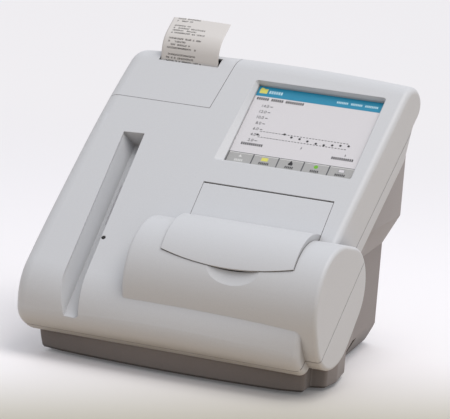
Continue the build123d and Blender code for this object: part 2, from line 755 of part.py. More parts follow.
def housing_form(inset):
    """Outer form of the grey rear housing: flared lower part, upright upper part and sloped roof."""
    def plan(halves, height):
        places = (FRONT_Y + 108.5, BASE_WAIST[1], BASE_MID[1], REAR_Y - inset)
        side = [(half - inset, y) for half, y in zip(halves, places)]
        other = [(-x, y) for x, y in reversed(side)]
        face = Polygon(*side, *other, align=None)
        ends = [v for v in face.vertices() if v.Y > REAR_Y - inset - 1]
        return Pos(0, 0, height) * fillet(ends, HOUSING_R - inset)
    low = plan((129.3, BASE_WAIST[0], BASE_MID[0], BASE_REAR_HALF), LEDGE_Z)
    high = plan((127.5, 126.5, 123.5, 112.0), SHOULDER_Z)
    body = loft([low.face(), high.face()], ruled=True)
    body += extrude(high, amount=FAR / 4, dir=(0, 0, 1))
    if inset > 0:
        body += Pos(0, 0, -10) * extrude(low, amount=10, dir=(0, 0, 1))
    roof = Pos(0, REAR_Y, ROOF_REAR_Z - inset) * Rot(-ROOF_TILT, 0, 0)
    return body - roof * Pos(0, 0, FAR / 2) * Box(FAR, FAR, FAR)


def rear_housing(outer, inner):
    """Grey rear housing behind the slab, with grille, connector holes and the board shelf."""
    body = housing_form(0) - housing_form(WALL)
    body -= face_block(-FAR, FAR, -FAR, FAR, -TOP_THICK, FAR)
    body -= outer
    body -= face_block(-FAR, FAR, -FAR, STEP_T0, -BODY_THICK, FAR)
    body -= inner
    for k in range(-4, 5):
        low = k * GRILLE_STEP - GRILLE_GAP / 2
        half = sqrt(FAN_GRILLE_R ** 2 - (k * GRILLE_STEP) ** 2)
        body -= block(FAN_X - half, FAN_X + half, REAR_Y - 2 * WALL, REAR_Y + 1,
                      FAN_Z + low, FAN_Z + low + GRILLE_GAP)
    for x in (BOARD_X0 + 4, BOARD_X1 - 4):
        body += block(x - 2, x + 2, BOARD_Y0, REAR_Y - WALL / 2, BOARD_Z - SHELF_H, BOARD_Z)
    for name in PORTS:
        body -= port_block(name, 0.2)
    return body.solids().sort_by(SortBy.VOLUME)[-1]


def port_block(name, gap):
    """Body of one rear socket, standing on the board and flush with the rear face."""
    x, w, d, h = PORTS[name][:4]
    low = BOARD_Z + BOARD_THICK
    return block(x - w / 2 - gap, x + w / 2 + gap, REAR_Y - d, REAR_Y, low, low + h + gap)


def port(name):
    """Rear socket with its opening and, in the serial one, its two rows of pins."""
    x, w, d, h, hole_w, hole_h = PORTS[name]
    mid = BOARD_Z + BOARD_THICK + h / 2
    body = port_block(name, 0)
    back = REAR_Y - HOLE_DEPTH
    body -= block(x - hole_w / 2, x + hole_w / 2, back, REAR_Y + 1, mid - hole_h / 2, mid + hole_h / 2)
    if name == "usb_port":
        half = hole_w / 2 - 0.6
        body += block(x - half, x + half, back, REAR_Y - 1, mid + 0.2, mid + 2.0)
    if name == "serial_port":
        pin = Rot(90, 0, 0) * Cylinder(0.5, HOLE_DEPTH - 3)
        for row, count in ((PIN_ROW, 5), (-PIN_ROW, 4)):
            for k in range(count):
                body += Pos(x + (k - (count - 1) / 2) * PIN_STEP, REAR_Y - HOLE_DEPTH / 2 - 1.5, mid + row) * pin
    return body


def inlet_block(gap):
    """Through-wall part of the mains inlet."""
    half = INLET_W / 2 + gap
    return block(INLET_X - half, INLET_X + half, REAR_Y - INLET_D, REAR_Y, INLET_Z0 - gap, INLET_Z1 + gap)


def flange(x, half, z0, z1):
    """Flange of a panel part, flat on the inside of the rear wall."""
    return block(x - half, x + half, REAR_Y - WALL - FLANGE_THICK, REAR_Y - WALL, z0, z1)


def power_inlet():
    """Mains inlet with an inside flange and three flat pins."""
    body = inlet_block(0) + flange(INLET_X, INLET_W / 2 + FLANGE, INLET_Z0 - 4, INLET_Z1 + 4)
    half = INLET_MOUTH_W / 2
    back = REAR_Y - INLET_MOUTH_D
    body -= block(INLET_X - half, INLET_X + half, back, REAR_Y + 1, INLET_MOUTH_Z0, INLET_MOUTH_Z1)
    mid = (INLET_MOUTH_Z0 + INLET_MOUTH_Z1) / 2
    for dx, dz in ((-7, -2), (7, -2), (0, 2)):
        x = INLET_X + dx
        body += block(x - 1, x + 1, back - 1, REAR_Y - 4, mid + dz - 2, mid + dz + 2)
    return body


def switch_block(gap):
    """Through-wall part of the power switch."""
    half_x = SWITCH_W / 2 + gap
    half_z = SWITCH_H / 2 + gap
    return block(SWITCH_X - half_x, SWITCH_X + half_x, REAR_Y - SWITCH_D, REAR_Y,
                 SWITCH_Z - half_z, SWITCH_Z + half_z)


def rocker_axle(grow):
    """Pivot of the rocker, across the switch."""
    half = ROCKER_W / 2 + ROCKER_GAP + 0.9 + grow
    return rod(SWITCH_X - half, SWITCH_X + half, REAR_Y - ROCKER_IN, SWITCH_Z, ROCKER_PIN_R + grow)


def power_switch():
    """Frame of the power switch, with bores for the rocker's pivots."""
    rim = SWITCH_H / 2 + SWITCH_RIM
    body = switch_block(0) + flange(SWITCH_X, SWITCH_W / 2 + SWITCH_RIM, SWITCH_Z - rim, SWITCH_Z + rim)
    half_x = ROCKER_W / 2 + ROCKER_GAP
    half_z = SWITCH_H / 2 - 1.8
    body -= block(SWITCH_X - half_x, SWITCH_X + half_x, REAR_Y - 13, REAR_Y + 1,
                  SWITCH_Z - half_z, SWITCH_Z + half_z)
    return body - rocker_axle(FIT)


def rocker_switch():
    """Rocker with one end pressed in."""
    body = Pos(0, -0.9, 0) * Box(ROCKER_W, 7.8, 17.6)
    for side in (1, -1):
        body -= Pos(0, 3, 0) * Rot(side * ROCKER_TILT, 0, 0) * Pos(0, 1.2, -20 * side) * Box(14, 2.4, 40)
    body = Rot(ROCKER_TILT, 0, 0) * body
    return Pos(SWITCH_X, REAR_Y - ROCKER_IN, SWITCH_Z) * body + rocker_axle(0)


# Cartridge compartment

def motor_y():
    """Axis of the drive motor, behind the carrier's axis by the gears' centre distance."""
    return DRUM_Y + DRIVE_MODULE * (DRIVE_TEETH + DRIVE_PINION_TEETH) / 2


def cartridge_bay():
    """Chamber round the carrier, open under the door, on two legs, with the motor's arm."""
    inside = rod(BAY_X0 + BAY_END, BAY_X1 - BAY_END, DRUM_Y, DRUM_Z, BAY_R - BAY_SHELL)
    body = rod(BAY_X0, BAY_X1, DRUM_Y, DRUM_Z, BAY_R) - inside
    mouth = Polygon(
        (0, 0), tuple(v * 80 for v in radial(62)), tuple(v * 90 for v in radial(10)),
        tuple(v * 80 for v in radial(-38)), align=None)
    mouth = Pos(BAY_X0 + BAY_END, DRUM_Y, DRUM_Z) * extrude(
        Plane.YZ * mouth, amount=BAY_X1 - BAY_X0 - 2 * BAY_END, dir=(1, 0, 0))
    body -= mouth
    body += guide_block()
    body -= tab_rod(TAB_R + FIT, TAB_Z + 6, 20)
    for x in LEGS:
        leg = block(x - LEG_W / 2, x + LEG_W / 2, DRUM_Y - 10, DRUM_Y + 22, BASE_Z + WALL, DRUM_Z - BAY_R + 6)
        body += leg - inside
    body -= rod(BAY_X0 - 1, BAY_X1 - 0.5, DRUM_Y, DRUM_Z, SHAFT_R + FIT)
    post_y = motor_y()
    for dz in (-POST_Z, POST_Z):
        body += rod(BRACKET_X, BAY_X0 + 1, post_y - 1, DRUM_Z + dz, 3.0)
        body += rod(BAY_X0, BAY_X0 + BAY_END, post_y - 1, DRUM_Z + dz, 5.0)
        body += block(BAY_X0, BAY_X0 + BAY_END, DRUM_Y + 20, post_y, DRUM_Z + dz - 4, DRUM_Z + dz + 4)
    return body


def guide_block():
    """Guide of the cartridge release tab on the right end wall."""
    x = BAY_X1 - BAY_END
    return block(x - 8, x + 1, TAB_Y - 7, TAB_Y + 7, TAB_Z, TAB_Z + 12)


def tab_rod(radius, z, length):
    """Upright cylinder on the release tab's axis."""
    return Pos(BAY_X1 - BAY_END - 4, TAB_Y, z) * Cylinder(radius, length)


def release_tab():
    """Sprung tab that frees the cartridge, pressed downwards."""
    body = tab_rod(TAB_R, TAB_Z + 8, 17)
    body += Pos(BAY_X1 - BAY_END - 4, TAB_Y, TAB_Z + 17.5) * Box(7, 11, 2.5)
    return body + tab_rod(TAB_R + 1.2, TAB_Z - 1.3, 2.0)


def cartridge_carrier():
    """Rotor with two discs and a slot that takes the test cartridge."""
    x0, x1 = BAY_X0 + BAY_END + 8, BAY_X1 - BAY_END - 9
    body = rod(x0, x0 + CARRIER_DISC, DRUM_Y, DRUM_Z, CARRIER_R)
    body += rod(x1 - CARRIER_DISC, x1, DRUM_Y, DRUM_Z, CARRIER_R)
    mid = (x0 + x1) / 2
    half = CARTRIDGE_L / 2
    body += rod(x0, x1, DRUM_Y, DRUM_Z, CARRIER_HUB_R)
    body += block(mid - half - 4, mid + half + 4, DRUM_Y - CARRIER_HALF, DRUM_Y + CARRIER_HALF,
                  DRUM_Z - 14, DRUM_Z + 30)
    body -= block(mid - half, mid + half, DRUM_Y - CARTRIDGE_W / 2, DRUM_Y + CARTRIDGE_W / 2,
                  DRUM_Z + SHAFT_R + 1.5, DRUM_Z + FAR)
    return body - rod(x0 - 1, x1 + 1, DRUM_Y, DRUM_Z, SHAFT_R)


def carrier_shaft():
    """Shaft of the carrier and its gear."""
    return rod(DRIVE_GEAR_X - 1, BAY_X1 - 0.6, DRUM_Y, DRUM_Z, SHAFT_R)


def carrier_gear():
    """Gear at the left end of the carrier shaft."""
    body = gear(DRIVE_TEETH, DRIVE_MODULE, DRIVE_GEAR_X, DRIVE_GEAR_W, DRUM_Y, DRUM_Z, 0)
    return body - rod(-FAR, FAR, DRUM_Y, DRUM_Z, SHAFT_R)


def motor_bracket():
    """Plate that holds the drive motor beside the carrier gear."""
    y = motor_y()
    half_z = POST_Z + 5
    body = block(BRACKET_X - BRACKET_THICK, BRACKET_X, y - 12, y + 12, DRUM_Z - half_z, DRUM_Z + half_z)
    return body - rod(BRACKET_X - 3, BRACKET_X + 1, y, DRUM_Z, PILOT_R)


def drive_motor():
    """Stepper motor with its pilot in the bracket."""
    y = motor_y()
    face_x = BRACKET_X - BRACKET_THICK
    body = Pos(face_x - MOTOR_SIZE / 2, y, DRUM_Z) * Box(MOTOR_SIZE, MOTOR_SIZE, MOTOR_SIZE)
    body = chamfer(body.edges().filter_by(Axis.X), 2.0)
    body += rod(face_x, BRACKET_X, y, DRUM_Z, PILOT_R - 0.2)
    return body - rod(BRACKET_X - 12, BRACKET_X + 1, y, DRUM_Z, MOTOR_SHAFT_R + FIT)


def drive_pinion():
    """Pinion and motor shaft."""
    y = motor_y()
    phase = 180 + 180 / DRIVE_PINION_TEETH
    body = gear(DRIVE_PINION_TEETH, DRIVE_MODULE, DRIVE_GEAR_X, DRIVE_GEAR_W, y, DRUM_Z, phase)
    return body + rod(BRACKET_X - 11, DRIVE_GEAR_X + 1, y, DRUM_Z, MOTOR_SHAFT_R)


def bay_heater():
    """Curved heating pad under the chamber."""
    x0, x1 = LEGS[0] + LEG_W / 2 + 2, LEGS[1] - LEG_W / 2 - 2
    ring = rod(x0, x1, DRUM_Y, DRUM_Z, BAY_R + HEATER_THICK)
    ring -= rod(x0 - 1, x1 + 1, DRUM_Y, DRUM_Z, BAY_R)
    return ring & block(x0 - 1, x1 + 1, DRUM_Y - 20, DRUM_Y + 20, 0, DRUM_Z)


def optics_block():
    """Photometer block on the right end wall of the chamber."""
    body = block(BAY_X1, BAY_X1 + OPTICS_W, BEAM_Y - 10, BEAM_Y + 26,
                 DRUM_Z - OPTICS_HALF_Z, DRUM_Z + OPTICS_HALF_Z)
    body -= rod(BAY_X1 - 1, BAY_X1 + OPTICS_W / 2, BEAM_Y, DRUM_Z, BEAM_R)
    return body - Pos(BAY_X1 + 7, BEAM_Y, DRUM_Z + 12) * Cylinder(BULB_R, 30)


def collimator_lens():
    """Lens in the bore of the photometer block."""
    return rod(BAY_X1 + 2, BAY_X1 + 5, BEAM_Y, DRUM_Z, BEAM_R - 2 * FIT)


def source_lamp():
    """Lamp of the photometer, seated from above."""
    return Pos(BAY_X1 + 7, BEAM_Y, DRUM_Z + 14) * Cylinder(BULB_R - 2 * FIT, 12)


def detector_board():
    """Small board with the light detector, behind the photometer block."""
    y = BEAM_Y + 26
    return block(BAY_X1 + 2, BAY_X1 + OPTICS_W - 2, y, y + BOARD_THICK, DRUM_Z - 16, DRUM_Z + 16)


# Printer

def printer_bay():
    """Two side plates and a cradle that carry the roll, the platen and the lid's pivots."""
    a, b, c, d = bay_planes()
    roll_n = tn(ROLL_Y, ROLL_Z)[1]
    platen_t, platen_n = platen_place()
    t0 = COVER_SEAM_T + 0.5
    plates = face_block(a, d, t0, BAY_DEEP_T, -BODY_THICK - 2, BAY_TOP_N)
    plates += face_block(a, d, BAY_DEEP_T - 1, BAY_REAR_T, -TOP_THICK + WALL + 2, BAY_TOP_N)
    plates += face_block(a, d, BAY_REAR_T - 7, LID_PIVOT_T, LID_PIVOT_N - LUG_R, LID_PIVOT_N + LUG_R)
    plates += face_rod(a, d, LID_PIVOT_T, LID_PIVOT_N, LUG_R)
    body = plates - face_block(b, c, -FAR, FAR, -FAR, FAR)
    cradle = rod(b, c, ROLL_Y, ROLL_Z, ROLL_R + CRADLE_GAP + CRADLE_WALL)
    cradle -= rod(b, c, ROLL_Y, ROLL_Z, ROLL_R + CRADLE_GAP)
    body += cradle & face_block(b, c, t0, BAY_DEEP_T, -BODY_THICK - 4, roll_n)
    for x0, x1 in ((a - 1, b + 1), (c - 1, d + 1)):
        body -= face_rod(x0, x1, LID_PIVOT_T, LID_PIVOT_N, LID_PIN_R + FIT)
        body -= face_rod(x0, x1, platen_t, platen_n, PLATEN_AXLE_R + FIT)
        body -= rod(x0, x1, ROLL_Y, ROLL_Z, SPINDLE_R)
    motor_t, motor_n = paper_motor_place()
    body -= face_rod(a - 1, b + 1, motor_t, motor_n, PAPER_AXLE_R + 0.5)
    return body + face_rod(d - 0.5, d + 4.2, LEVER_T, LEVER_N, LEVER_PIN_R)


def platen_place():
    """Platen axis in face coordinates, just behind the vertical paper."""
    return tn(PAPER_Y + PAPER_THICK / 2 + PLATEN_R + PAPER_CLEAR, PLATEN_Z)


def paper_motor_place():
    """Axis of the paper motor's pinion, in mesh below the platen gear."""
    t, n = platen_place()
    return t, n - PAPER_MODULE * (PLATEN_TEETH + PINION_TEETH) / 2


def roll_rod(half, radius):
    """Cylinder on the paper roll's axis."""
    return rod(PAPER_X - half, PAPER_X + half, ROLL_Y, ROLL_Z, radius)


def paper_roll():
    """Roll of thermal paper on its cardboard core."""
    half = PAPER_W / 2
    return roll_rod(half, ROLL_R) - roll_rod(half + 1, CORE_R)


def roll_core():
    """Cardboard core of the roll."""
    half = PAPER_W / 2
    return roll_rod(half, CORE_R) - roll_rod(half + 1, SPINDLE_R + FIT)


def roll_spindle():
    """Spindle across the bay that carries the roll."""
    return roll_rod(PAPER_W / 2 + BAY_SIDE_GAP + BAY_WALL, SPINDLE_R)


def platen_roller():
    """Rubber roller on its steel shaft."""
    b, c = bay_planes()[1:3]
    t, n = platen_place()
    return face_rod(b + 0.5, c - 0.5, t, n, PLATEN_R) - face_rod(b, c, t, n, PLATEN_AXLE_R)


def platen_shaft():
    """Shaft of the platen roller."""
    a, d = bay_planes()[::3]
    t, n = platen_place()
    return face_rod(a - GEAR_W - 1.5, d, t, n, PLATEN_AXLE_R)


def platen_gear():
    """Gear on the platen shaft, outside the left plate."""
    x = bay_planes()[0] - GEAR_W - 1
    y, z = yz(*platen_place())
    body = gear(PLATEN_TEETH, PAPER_MODULE, x, GEAR_W, y, z, FACE_TILT - 90)
    return body - rod(x - 1, x + GEAR_W + 1, y, z, PLATEN_AXLE_R)


def paper_pinion():
    """Pinion and shaft of the paper motor."""
    a, b = bay_planes()[:2]
    y, z = yz(*paper_motor_place())
    phase = FACE_TILT + 90 + 180 / PINION_TEETH
    body = gear(PINION_TEETH, PAPER_MODULE, a - GEAR_W - 1, GEAR_W, y, z, phase)
    return body + rod(a - 1.5, b + 6, y, z, PAPER_AXLE_R)


def paper_motor():
    """Small motor on the inside of the left plate."""
    b = bay_planes()[1]
    t, n = paper_motor_place()
    body = face_rod(b, b + PAPER_MOTOR_LEN, t, n, PAPER_MOTOR_R)
    return body - face_rod(b - 1, b + 7, t, n, PAPER_AXLE_R + FIT)


def print_head():
    """Thermal head, a bar across the bay in front of the paper."""
    b, c = bay_planes()[1:3]
    y1 = PAPER_Y - PAPER_THICK / 2 - PAPER_CLEAR
    return block(b, c, y1 - HEAD_T, y1, PLATEN_Z - HEAD_LOW, PLATEN_Z + HEAD_HIGH)


def head_lever():
    """Lever that lifts the head off the platen."""
    d = bay_planes()[3]
    swing = FACE * Pos(d + 2.2, LEVER_T, LEVER_N) * Rot(LEVER_REST, 0, 0)
    arm = swing * Pos(0, -LEVER_LEN / 2, 0) * Box(2.4, LEVER_LEN, 5)
    body = face_rod(d + 1, d + 3.4, LEVER_T, LEVER_N, LEVER_HUB_R) + arm
    return body - face_rod(d, d + 4.4, LEVER_T, LEVER_N, LEVER_PIN_R + FIT)


def paper_strip():
    """Printed strip that rises from the slot and curls back."""
    low = PLATEN_Z - 9
    half = PAPER_THICK / 2
    mid_a = radians(PAPER_CURL / 2)
    end_a = radians(PAPER_CURL)
    start = (PAPER_Y, HEIGHT)
    mid = (PAPER_Y + PAPER_CURL_R * (1 - cos(mid_a)), HEIGHT + PAPER_CURL_R * sin(mid_a))
    end = (PAPER_Y + PAPER_CURL_R * (1 - cos(end_a)), HEIGHT + PAPER_CURL_R * sin(end_a))
    tip = (end[0] + PAPER_TIP * sin(end_a), end[1] + PAPER_TIP * cos(end_a))
    def side(offset_by):
        def move(p, a):
            return (p[0] + offset_by * cos(a), p[1] - offset_by * sin(a))
        return (move((PAPER_Y, low), 0), move(start, 0), move(mid, mid_a), move(end, end_a), move(tip, end_a))
    one = side(-half)
    two = side(half)
    lines = [
        Line(one[0], one[1]), ThreePointArc(one[1], one[2], one[3]), Line(one[3], one[4]),
        Line(one[4], two[4]), Line(two[4], two[3]), ThreePointArc(two[3], two[2], two[1]),
        Line(two[1], two[0]), Line(two[0], one[0]),
    ]
    face = make_face(lines)
    return Pos(PAPER_X - PAPER_W / 2, 0, 0) * extrude(Plane.YZ * face, amount=PAPER_W, dir=(1, 0, 0))


def lid_pins():
    """Two pivot pins of the printer cover."""
    a, b, c, d = bay_planes()
    left = face_rod(a, b + LUG_W + TOUCH_GAP, LID_PIVOT_T, LID_PIVOT_N, LID_PIN_R)
    return left + face_rod(c - LUG_W - TOUCH_GAP, d, LID_PIVOT_T, LID_PIVOT_N, LID_PIN_R)


# Screen and boards

def touch_panel():
    """Glass touch panel behind the window."""
    w, h = SCREEN_W / 2 + GLASS_LAP, SCREEN_H / 2 + GLASS_LAP
    n = -RECESS_DEPTH - WALL
    return face_block(SCREEN_X - w, SCREEN_X + w, -h, h, n - GLASS_THICK, n)


def lcd_module():
    """Display module with four stand-offs for the main board."""
    w, h = SCREEN_W / 2 + 3, SCREEN_H / 2 + 3
    n = -RECESS_DEPTH - WALL - GLASS_THICK
    body = face_block(SCREEN_X - w, SCREEN_X + w, -h, h, n - PANEL_THICK, n)
    for x in (SCREEN_X - w + 8, SCREEN_X + w - 8):
        for t in (-h + 8, h - 8):
            body += FACE * Pos(x, t, n - PANEL_THICK - STANDOFF / 2) * Cylinder(3, STANDOFF)
    return body


def main_board():
    """Main circuit board on the stand-offs."""
    w, h = SCREEN_W / 2 + 3, SCREEN_H / 2 + 3
    n = -RECESS_DEPTH - WALL - GLASS_THICK - PANEL_THICK - STANDOFF
    body = face_block(SCREEN_X - w, SCREEN_X + w, -h, h, n - BOARD_THICK, n)
    body += face_block(SCREEN_X - 20, SCREEN_X + 10, -20, 10, n - BOARD_THICK - 3, n - BOARD_THICK)
    return body + face_block(SCREEN_X + 25, SCREEN_X + 45, -30, 20, n - BOARD_THICK - 6, n - BOARD_THICK)


def barcode_reader():
    """Reader behind the window of the track."""
    size = Box(READER_W, WINDOW_L + 12, READER_DEPTH)
    return track_place() * Pos(0, WINDOW_T, -TRACK_DEPTH - WALL - READER_DEPTH / 2) * size


def status_lens():
    """Clear lens of the status light."""
    return FACE * Pos(LAMP_X, LAMP_T, -WALL / 2 - 0.1) * Cylinder(LAMP_R - FIT, WALL)


# Base, drawer, fan and feet

def chassis():
    """Steel plate on the floor of the base."""
    z = BASE_Z + WALL
    body = block(-85, 88, FRONT_Y + 82.5, REAR_Y - 74.5, z, z + CHASSIS_THICK)
    for x, y in screw_places():
        body -= Pos(x, y, z) * Cylinder(SCREW_BOSS_R + 1, 10)
    return body


def power_supply():
    """Enclosed power supply on the chassis."""
    z = BASE_Z + WALL + CHASSIS_THICK
    body = block(5, 80, REAR_Y - 158.5, REAR_Y - 78.5, z, z + SUPPLY_H)
    return chamfer(body.edges().filter_by(Axis.Z), 1.5)


def speaker():
    """Round speaker on the chassis."""
    z = BASE_Z + WALL + CHASSIS_THICK
    rim = Pos(SPEAKER_X, SPEAKER_Y, z + 4) * Cylinder(SPEAKER_R, 8)
    return rim + Pos(SPEAKER_X, SPEAKER_Y, z + 10) * Cylinder(SPEAKER_R - 8, 4)


def filter_drawer():
    """Open tray with a finger rim, flush with the rear face."""
    x0, x1, y0, y1, z0, z1 = drawer_box(0)
    wall = DRAWER_WALL
    body = block(x0, x1, y0, y1, z0, z1)
    body -= block(x0 + wall, x1 - wall, y0 + wall, y1 - DRAWER_FRONT, z0 + wall, z1 + 1)
    half = DRAWER_GRIP_W / 2
    return body - block(DRAWER_X - half, DRAWER_X + half, y1 - DRAWER_FRONT / 2, y1 + 1, z1 - 5, z1 + 1)


def filter_foam():
    """Foam air filter lying in the drawer."""
    x0, x1, y0, y1, z0, z1 = drawer_box(-DRAWER_WALL)
    gap = TOUCH_GAP
    return block(x0 + gap, x1 - gap, y0 + gap, y1 - DRAWER_FRONT - gap, z0, z1)


def fan_frame():
    """Square fan frame with three struts and the hub's post."""
    y0, y1 = REAR_Y - WALL - FAN_THICK, REAR_Y - WALL
    half = FAN_SIZE / 2
    body = block(FAN_X - half, FAN_X + half, y0, y1, FAN_Z - half, FAN_Z + half)
    body -= Pos(FAN_X, (y0 + y1) / 2, FAN_Z) * Rot(90, 0, 0) * Cylinder(FAN_GRILLE_R + 1, FAN_THICK + 2)
    strut = Pos(FAN_GRILLE_R / 2 + 1, 0, 0) * Box(FAN_GRILLE_R + 2, FAN_STRUT, FAN_STRUT)
    hub = Pos(FAN_X, y1 - FAN_STRUT / 2, FAN_Z)
    for k in range(3):
        body += hub * Rot(0, 120 * k, 0) * strut
    body += hub * Rot(90, 0, 0) * Cylinder(FAN_HUB_R - 1, FAN_STRUT)
    return body + Pos(FAN_X, y1 - 9, FAN_Z) * Rot(90, 0, 0) * Cylinder(FAN_POST_R, 14)


def fan_rotor():
    """Bladed rotor that turns on the frame's post."""
    y0 = REAR_Y - WALL - FAN_THICK + 1
    body = Pos(FAN_X, y0 + 7, FAN_Z) * Rot(90, 0, 0) * Cylinder(FAN_HUB_R, 14)
    blade = Pos(FAN_HUB_R + 7.5, 0, 0) * Rot(35, 0, 0) * Box(17, 1.6, 13)
    for k in range(FAN_BLADES):
        body += Pos(FAN_X, y0 + 7, FAN_Z) * Rot(0, 360 / FAN_BLADES * k, 0) * blade
    return body - Pos(FAN_X, y0 + 10, FAN_Z) * Rot(90, 0, 0) * Cylinder(FAN_POST_R + FIT, 16)


def io_board():
    """Board on the shelf that carries the rear sockets."""
    return block(BOARD_X0, BOARD_X1, BOARD_Y0, REAR_Y - WALL, BOARD_Z, BOARD_Z + BOARD_THICK)


def rubber_feet():
    """Four rubber feet."""
    feet = []
    for x, y in FOOT_PLACES:
        foot = Pos(x, y, BASE_Z / 2) * Cylinder(FOOT_R, BASE_Z)
        feet.append(chamfer(foot.edges().group_by(Axis.Z)[0], 0.6))
    return Compound(children=feet)


def case_screws():
    """Four screws up through the base's bosses."""
    screws = []
    for x, y in screw_places():
        head = Pos(x, y, BASE_Z + 1.5) * Cylinder(SCREW_HEAD_R, 3.0)
        screws.append(head + Pos(x, y, BASE_Z + 6) * Cylinder(SCREW_R, 6.0))
    return Compound(children=screws)


def rating_plate():
    """Blank plate under the base."""
    return block(-30, 30, -20, 20, BASE_Z - 0.3, BASE_Z)


def build():
    """All nodes by name."""
    outer = white_body()
    inner = hollow()
    ports = {name: port(name) for name in PORTS}
    t, n = door_axis()
    pins = [face_rod(x0, x1, t, n, DOOR_PIN_R) for x0, x1 in door_pin_spans()]
    return {
        "front_shell": front_shell(outer, inner),
        "rear_shell": rear_shell(outer, inner),
        "base_tray": base_tray(outer),
        "rear_housing": rear_housing(outer, inner),
        "cartridge_door": cartridge_door(),
        "door_hinge_pins": Compound(children=pins),
        "printer_cover": printer_cover(outer, inner),
        "lid_pivot_pins": lid_pins(),
        "touch_panel": touch_panel(),
        "lcd_module": lcd_module(),
        "main_board": main_board(),
        "barcode_window": window_block(0.1),
        "barcode_reader": barcode_reader(),
        "status_lens": status_lens(),
        "cartridge_bay": cartridge_bay(),
        "release_tab": release_tab(),
        "cartridge_carrier": cartridge_carrier(),
        "carrier_shaft": carrier_shaft(),
        "carrier_gear": carrier_gear(),
        "motor_bracket": motor_bracket(),
        "drive_motor": drive_motor(),
        "drive_pinion": drive_pinion(),
        "bay_heater": bay_heater(),
        "optics_block": optics_block(),
        "collimator_lens": collimator_lens(),
        "source_lamp": source_lamp(),
        "detector_board": detector_board(),
        "printer_bay": printer_bay(),
        "paper_roll": paper_roll(),
        "roll_core": roll_core(),
        "roll_spindle": roll_spindle(),
        "platen_roller": platen_roller(),
        "platen_shaft": platen_shaft(),
        "platen_gear": platen_gear(),
        "paper_motor": paper_motor(),
        "paper_pinion": paper_pinion(),
        "print_head": print_head(),
        "head_lever": head_lever(),
        "paper_strip": paper_strip(),
        "chassis": chassis(),
        "power_supply": power_supply(),
        "speaker": speaker(),
        "filter_drawer": filter_drawer(),
        "filter_foam": filter_foam(),
        "fan_frame": fan_frame(),
        "fan_rotor": fan_rotor(),
        "io_board": io_board(),
        "power_inlet": power_inlet(),
        "power_switch": power_switch(),
        "rocker_switch": rocker_switch(),
        "rubber_feet": rubber_feet(),
        "case_screws": case_screws(),
        "rating_plate": rating_plate(),
        **ports,
    }


os.makedirs("parts", exist_ok=True)
for name, shape in build().items():
    export_step(shape, f"parts/{name}.step")
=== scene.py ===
"""Bench-top immunoassay analyzer: white and grey moulded case, inclined touch screen,
curved cartridge door, barcode track and strip printer. Metres, +Z up, front towards -Y.
The strip's and the display's own sizes are in millimetres, and go to metres through MM."""
import math
import random

import bpy
from mathutils import Matrix, Quaternion, Vector


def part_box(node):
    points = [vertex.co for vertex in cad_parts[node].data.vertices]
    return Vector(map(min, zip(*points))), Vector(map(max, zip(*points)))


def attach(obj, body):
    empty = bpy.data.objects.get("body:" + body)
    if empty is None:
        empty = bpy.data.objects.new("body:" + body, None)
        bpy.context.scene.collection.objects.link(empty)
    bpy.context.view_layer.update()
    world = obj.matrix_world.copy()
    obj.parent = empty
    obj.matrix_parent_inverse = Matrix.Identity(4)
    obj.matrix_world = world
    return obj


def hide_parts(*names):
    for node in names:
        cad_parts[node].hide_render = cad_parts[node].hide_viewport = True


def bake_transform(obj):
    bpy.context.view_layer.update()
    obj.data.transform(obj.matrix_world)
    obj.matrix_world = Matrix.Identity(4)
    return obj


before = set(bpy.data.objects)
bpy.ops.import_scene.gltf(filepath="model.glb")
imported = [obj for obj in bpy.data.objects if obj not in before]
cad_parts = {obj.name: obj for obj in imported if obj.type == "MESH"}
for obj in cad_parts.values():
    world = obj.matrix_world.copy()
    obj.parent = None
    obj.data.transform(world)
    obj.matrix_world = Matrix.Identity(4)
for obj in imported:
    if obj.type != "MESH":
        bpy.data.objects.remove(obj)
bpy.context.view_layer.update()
bpy.context.scene.view_settings.view_transform = "Standard"
MM = 0.001


# The photographer's view: a long lens from the right, a little above the bench,
# with the camera held slightly tilted.
VIEW_AZIMUTH = math.radians(23.29)
VIEW_ELEVATION = math.radians(10.14)
VIEW_ROLL = math.radians(4.72)
VIEW_PLACE = Vector((1.0929, -2.5503, 0.6262))
SENSOR_WIDTH = 36.0
LENS = 254.72
view_back = Vector((
    math.sin(VIEW_AZIMUTH) * math.cos(VIEW_ELEVATION),
    -math.cos(VIEW_AZIMUTH) * math.cos(VIEW_ELEVATION),
    math.sin(VIEW_ELEVATION),
))
camera = bpy.data.objects.new("camera", bpy.data.cameras.new("camera"))
camera.data.sensor_width = SENSOR_WIDTH
camera.data.lens = LENS
camera.data.clip_end = 60.0
camera.location = VIEW_PLACE
camera.rotation_mode = "QUATERNION"
camera.rotation_quaternion = (-view_back).to_track_quat("-Z", "Y") @ Quaternion((0, 0, 1), VIEW_ROLL)
bpy.context.scene.collection.objects.link(camera)
bpy.context.scene.camera = camera


# The bench top is a plain pale laminate whose colour is painted darker towards the viewer
# and the right, as painted shade. It runs far back and throws a warm light up onto the
# object. A broad overhead soft box and an even sky light it, as in a small studio.
def linear(code):
    """Linear colour of an sRGB hex value."""
    parts = [int(code[i:i + 2], 16) / 255 for i in (1, 3, 5)]
    return [p / 12.92 if p <= 0.04045 else ((p + 0.055) / 1.055) ** 2.4 for p in parts] + [1.0]


def add_node(tree, kind, values=None, links=None, **settings):
    """Adds a node with its settings, its socket values and its incoming links."""
    node = tree.nodes.new(kind)
    for name, value in settings.items():
        setattr(node, name, value)
    for socket, value in (values or {}).items():
        node.inputs[socket].default_value = value
    for socket, (source, output) in (links or {}).items():
        tree.links.new(source.outputs[output], node.inputs[socket])
    return node


